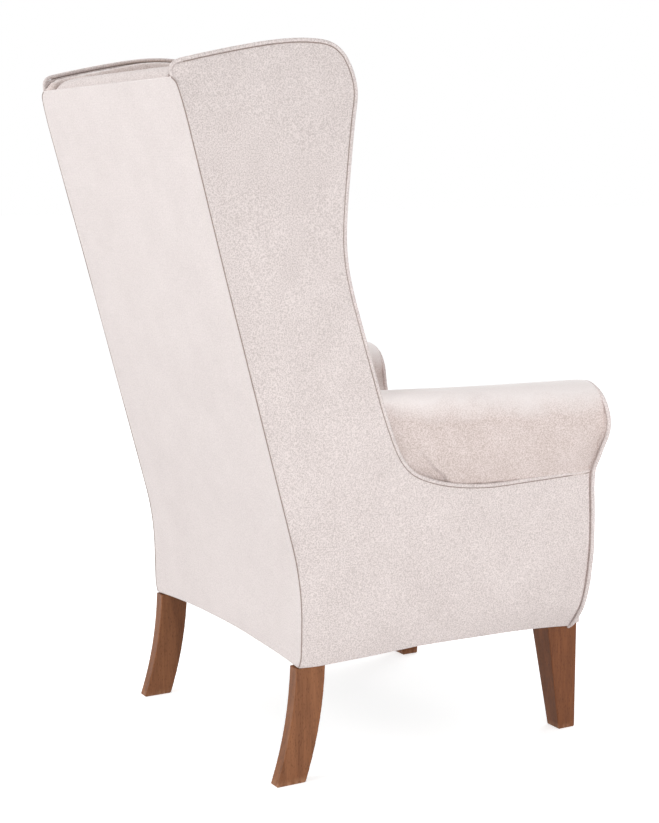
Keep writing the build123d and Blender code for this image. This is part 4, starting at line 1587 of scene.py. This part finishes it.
@dataclass
class Studio:
    """Pale floor, soft light and the camera at the photograph's angle."""

    camera_place: Point3 = (-2.46861, 1.37288, 0.96884)
    camera_forward: Point3 = (0.8594, -0.4900, -0.1464)
    lens: float = 71.91
    sensor: float = 36.0
    world_strength: float = 0.51
    floor_colour: Point3 = (0.86, 0.86, 0.86)
    floor_glow: float = 0.62
    lamps: tuple[SoftLight, ...] = field(
        default_factory=lambda: (
            SoftLight("Key_Light", (0.2, 3.5, 2.1), 2.4, 56.0),
            SoftLight("Side_Light", (-2.6, 0.2, 0.5), 2.4, 34.0),
            SoftLight("Front_Light", (1.4, -3.2, 2.2), 2.6, 42.0),
            SoftLight("Top_Light", (0.4, 0.2, 3.4), 2.4, 12.0),
        )
    )

    @staticmethod
    def seen(board: NodeBoard) -> Socket:
        """Add nodes that tell rays which show the background from those that light it.

        Args:
            board: Board of the floor or the world.

        Returns:
            Value socket, 1 for camera, glossy and transmission rays.
        """
        path = board.add("ShaderNodeLightPath").outputs
        total = path["Is Camera Ray"]
        for name in ("Is Glossy Ray", "Is Transmission Ray"):
            total = board.sum(total, path[name], "MAXIMUM")
        return total

    def world(self) -> None:
        """Set a white world that lights the chair softly."""
        world = bpy.data.worlds.new("Studio_World")
        bpy.context.scene.world = world
        board = NodeBoard(world)
        white = (1.0, 1.0, 1.0, 1.0)
        light = board.add("ShaderNodeBackground", {"Color": white, "Strength": self.world_strength})
        shown = board.add("ShaderNodeBackground", {"Color": white})
        feeds = {0: self.seen(board), 1: light.outputs[0], 2: shown.outputs[0]}
        mix = board.add("ShaderNodeMixShader", feeds)
        board.add("ShaderNodeOutputWorld", {"Surface": mix.outputs[0]})

    def floor(self) -> None:
        """Lay a pale floor that keeps the chair's shadow."""
        Bench.clear_selection()
        bpy.ops.mesh.primitive_plane_add(size=60.0)
        floor = bpy.context.object
        floor.name = "Studio_Floor"
        board = NodeBoard(bpy.data.materials.new("Pale_Floor"))
        matt = board.add("ShaderNodeBsdfDiffuse", {"Color": (*self.floor_colour, 1.0)})
        strength = board.sum(self.seen(board), self.floor_glow, "MULTIPLY")
        glow = board.add("ShaderNodeEmission", {"Strength": strength})
        total = board.add("ShaderNodeAddShader", {0: matt.outputs[0], 1: glow.outputs[0]})
        board.add("ShaderNodeOutputMaterial", {"Surface": total.outputs[0]})
        floor.data.materials.append(board.owner)

    def camera(self) -> None:
        """Place the camera where the photograph was taken from."""
        Bench.clear_selection()
        bpy.ops.object.camera_add(location=self.camera_place)
        camera = bpy.context.object
        camera.name = "Photo_Camera"
        camera.rotation_euler = Vector(self.camera_forward).to_track_quat("-Z", "Y").to_euler()
        camera.data.lens = self.lens
        camera.data.sensor_width = self.sensor
        camera.data.sensor_fit = "AUTO"
        bpy.context.scene.camera = camera

    def build(self) -> None:
        """Set up the studio."""
        bpy.context.scene.view_settings.view_transform = "Standard"
        self.world()
        self.floor()
        for lamp in self.lamps:
            lamp.build()
        self.camera()


def finishes() -> dict[Slot, Finish]:
    """Build every finish of the chair once.

    Returns:
        Material of each slot.
    """
    return {
        Slot.COVER_OUTSIDE: ChenilleFinish(
            "Outside_Chenille", (0.867, 0.784, 0.764), (0.56, 0.49, 0.47)
        ).build(),
        # Inside cloth: a darker, pinker copy of the outside cloth, painted shade; its blotchier pile is the
        # cloth's own
        Slot.COVER_INSIDE: ChenilleFinish(
            "Inside_Chenille_Painted_Shade", (0.83, 0.732, 0.708), (0.54, 0.44, 0.40), blotch=0.3, sheen=1.0
        ).build(),
        Slot.STAINED_BEECH: BeechFinish(
            "Stained_Beech", (0.145, 0.049, 0.0175), (0.335, 0.136, 0.058), (0.44, 0.235, 0.13), 0.4
        ).build(),
        Slot.FRAME_BEECH: BeechFinish(
            "Frame_Beech", (0.46, 0.30, 0.17), (0.62, 0.44, 0.28), (0.66, 0.50, 0.34), 0.6
        ).build(),
        Slot.DOWEL_BEECH: BeechFinish(
            "Dowel_Beech", (0.52, 0.36, 0.21), (0.66, 0.49, 0.32), (0.70, 0.54, 0.38), 0.6
        ).build(),
        Slot.STEEL: SteelFinish("Plain_Steel").build(),
        Slot.WEBBING: WovenFinish("Jute_Webbing", (0.42, 0.30, 0.17), (0.22, 0.15, 0.08)).build(),
        Slot.DUST_CLOTH: WovenFinish("Dust_Cloth", (0.05, 0.05, 0.055), (0.02, 0.02, 0.022), 0.0012).build(),
    }


def main() -> None:
    """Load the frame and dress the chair."""
    logging.basicConfig(level=logging.INFO, format="%(name)s: %(message)s")
    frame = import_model()
    # Outside back: a paler copy of the outside cloth, painted light; its fainter speckle is the cloth's own
    back = ChenilleFinish("Back_Chenille_Painted_Light", (0.863, 0.789, 0.771), (0.62, 0.555, 0.54), speckle=0.4).build()
    # Arm roll cloth: the inside cloth's darker, pinker painted shade, with a painted highlight along the top
    arm = ChenilleFinish(
        "Arm_Chenille_Painted_Shade",
        (0.83, 0.732, 0.708),
        (0.54, 0.44, 0.40),
        blotch=0.25,
        sheen=1.0,
        # Painted highlight along the rolls' top, above these heights in metres
        painted_top_highlight=(0.574, 0.612),
    ).build()
    # Dark cord colour: painted shadow at the bottom of the seam grooves
    seam = ChenilleFinish("Seam_Shadow_Cord", (0.40, 0.32, 0.29), (0.27, 0.21, 0.19), speckle=0.5).build()
    dresser = Dresser(frame, ChairLines(), finishes(), back, seam)
    # Front legs: a darker copy of the stained beech, painted shade
    front = BeechFinish(
        "Stained_Beech_Front_Painted_Shade", (0.115, 0.034, 0.010), (0.265, 0.093, 0.034), (0.42, 0.22, 0.12), 0.42
    ).build()
    Framework(dresser, front).build()
    OutsideCovers(dresser).build()
    Pipings(dresser).build()
    ArmPads(dresser, arm).build()
    WingPads(dresser).build()
    BackPad(dresser).build()
    SeatPlatform(dresser).build()
    SeatCushion(dresser).build()
    Studio().build()
    Bench.clear_selection()


if __name__ == "__main__":
    main()
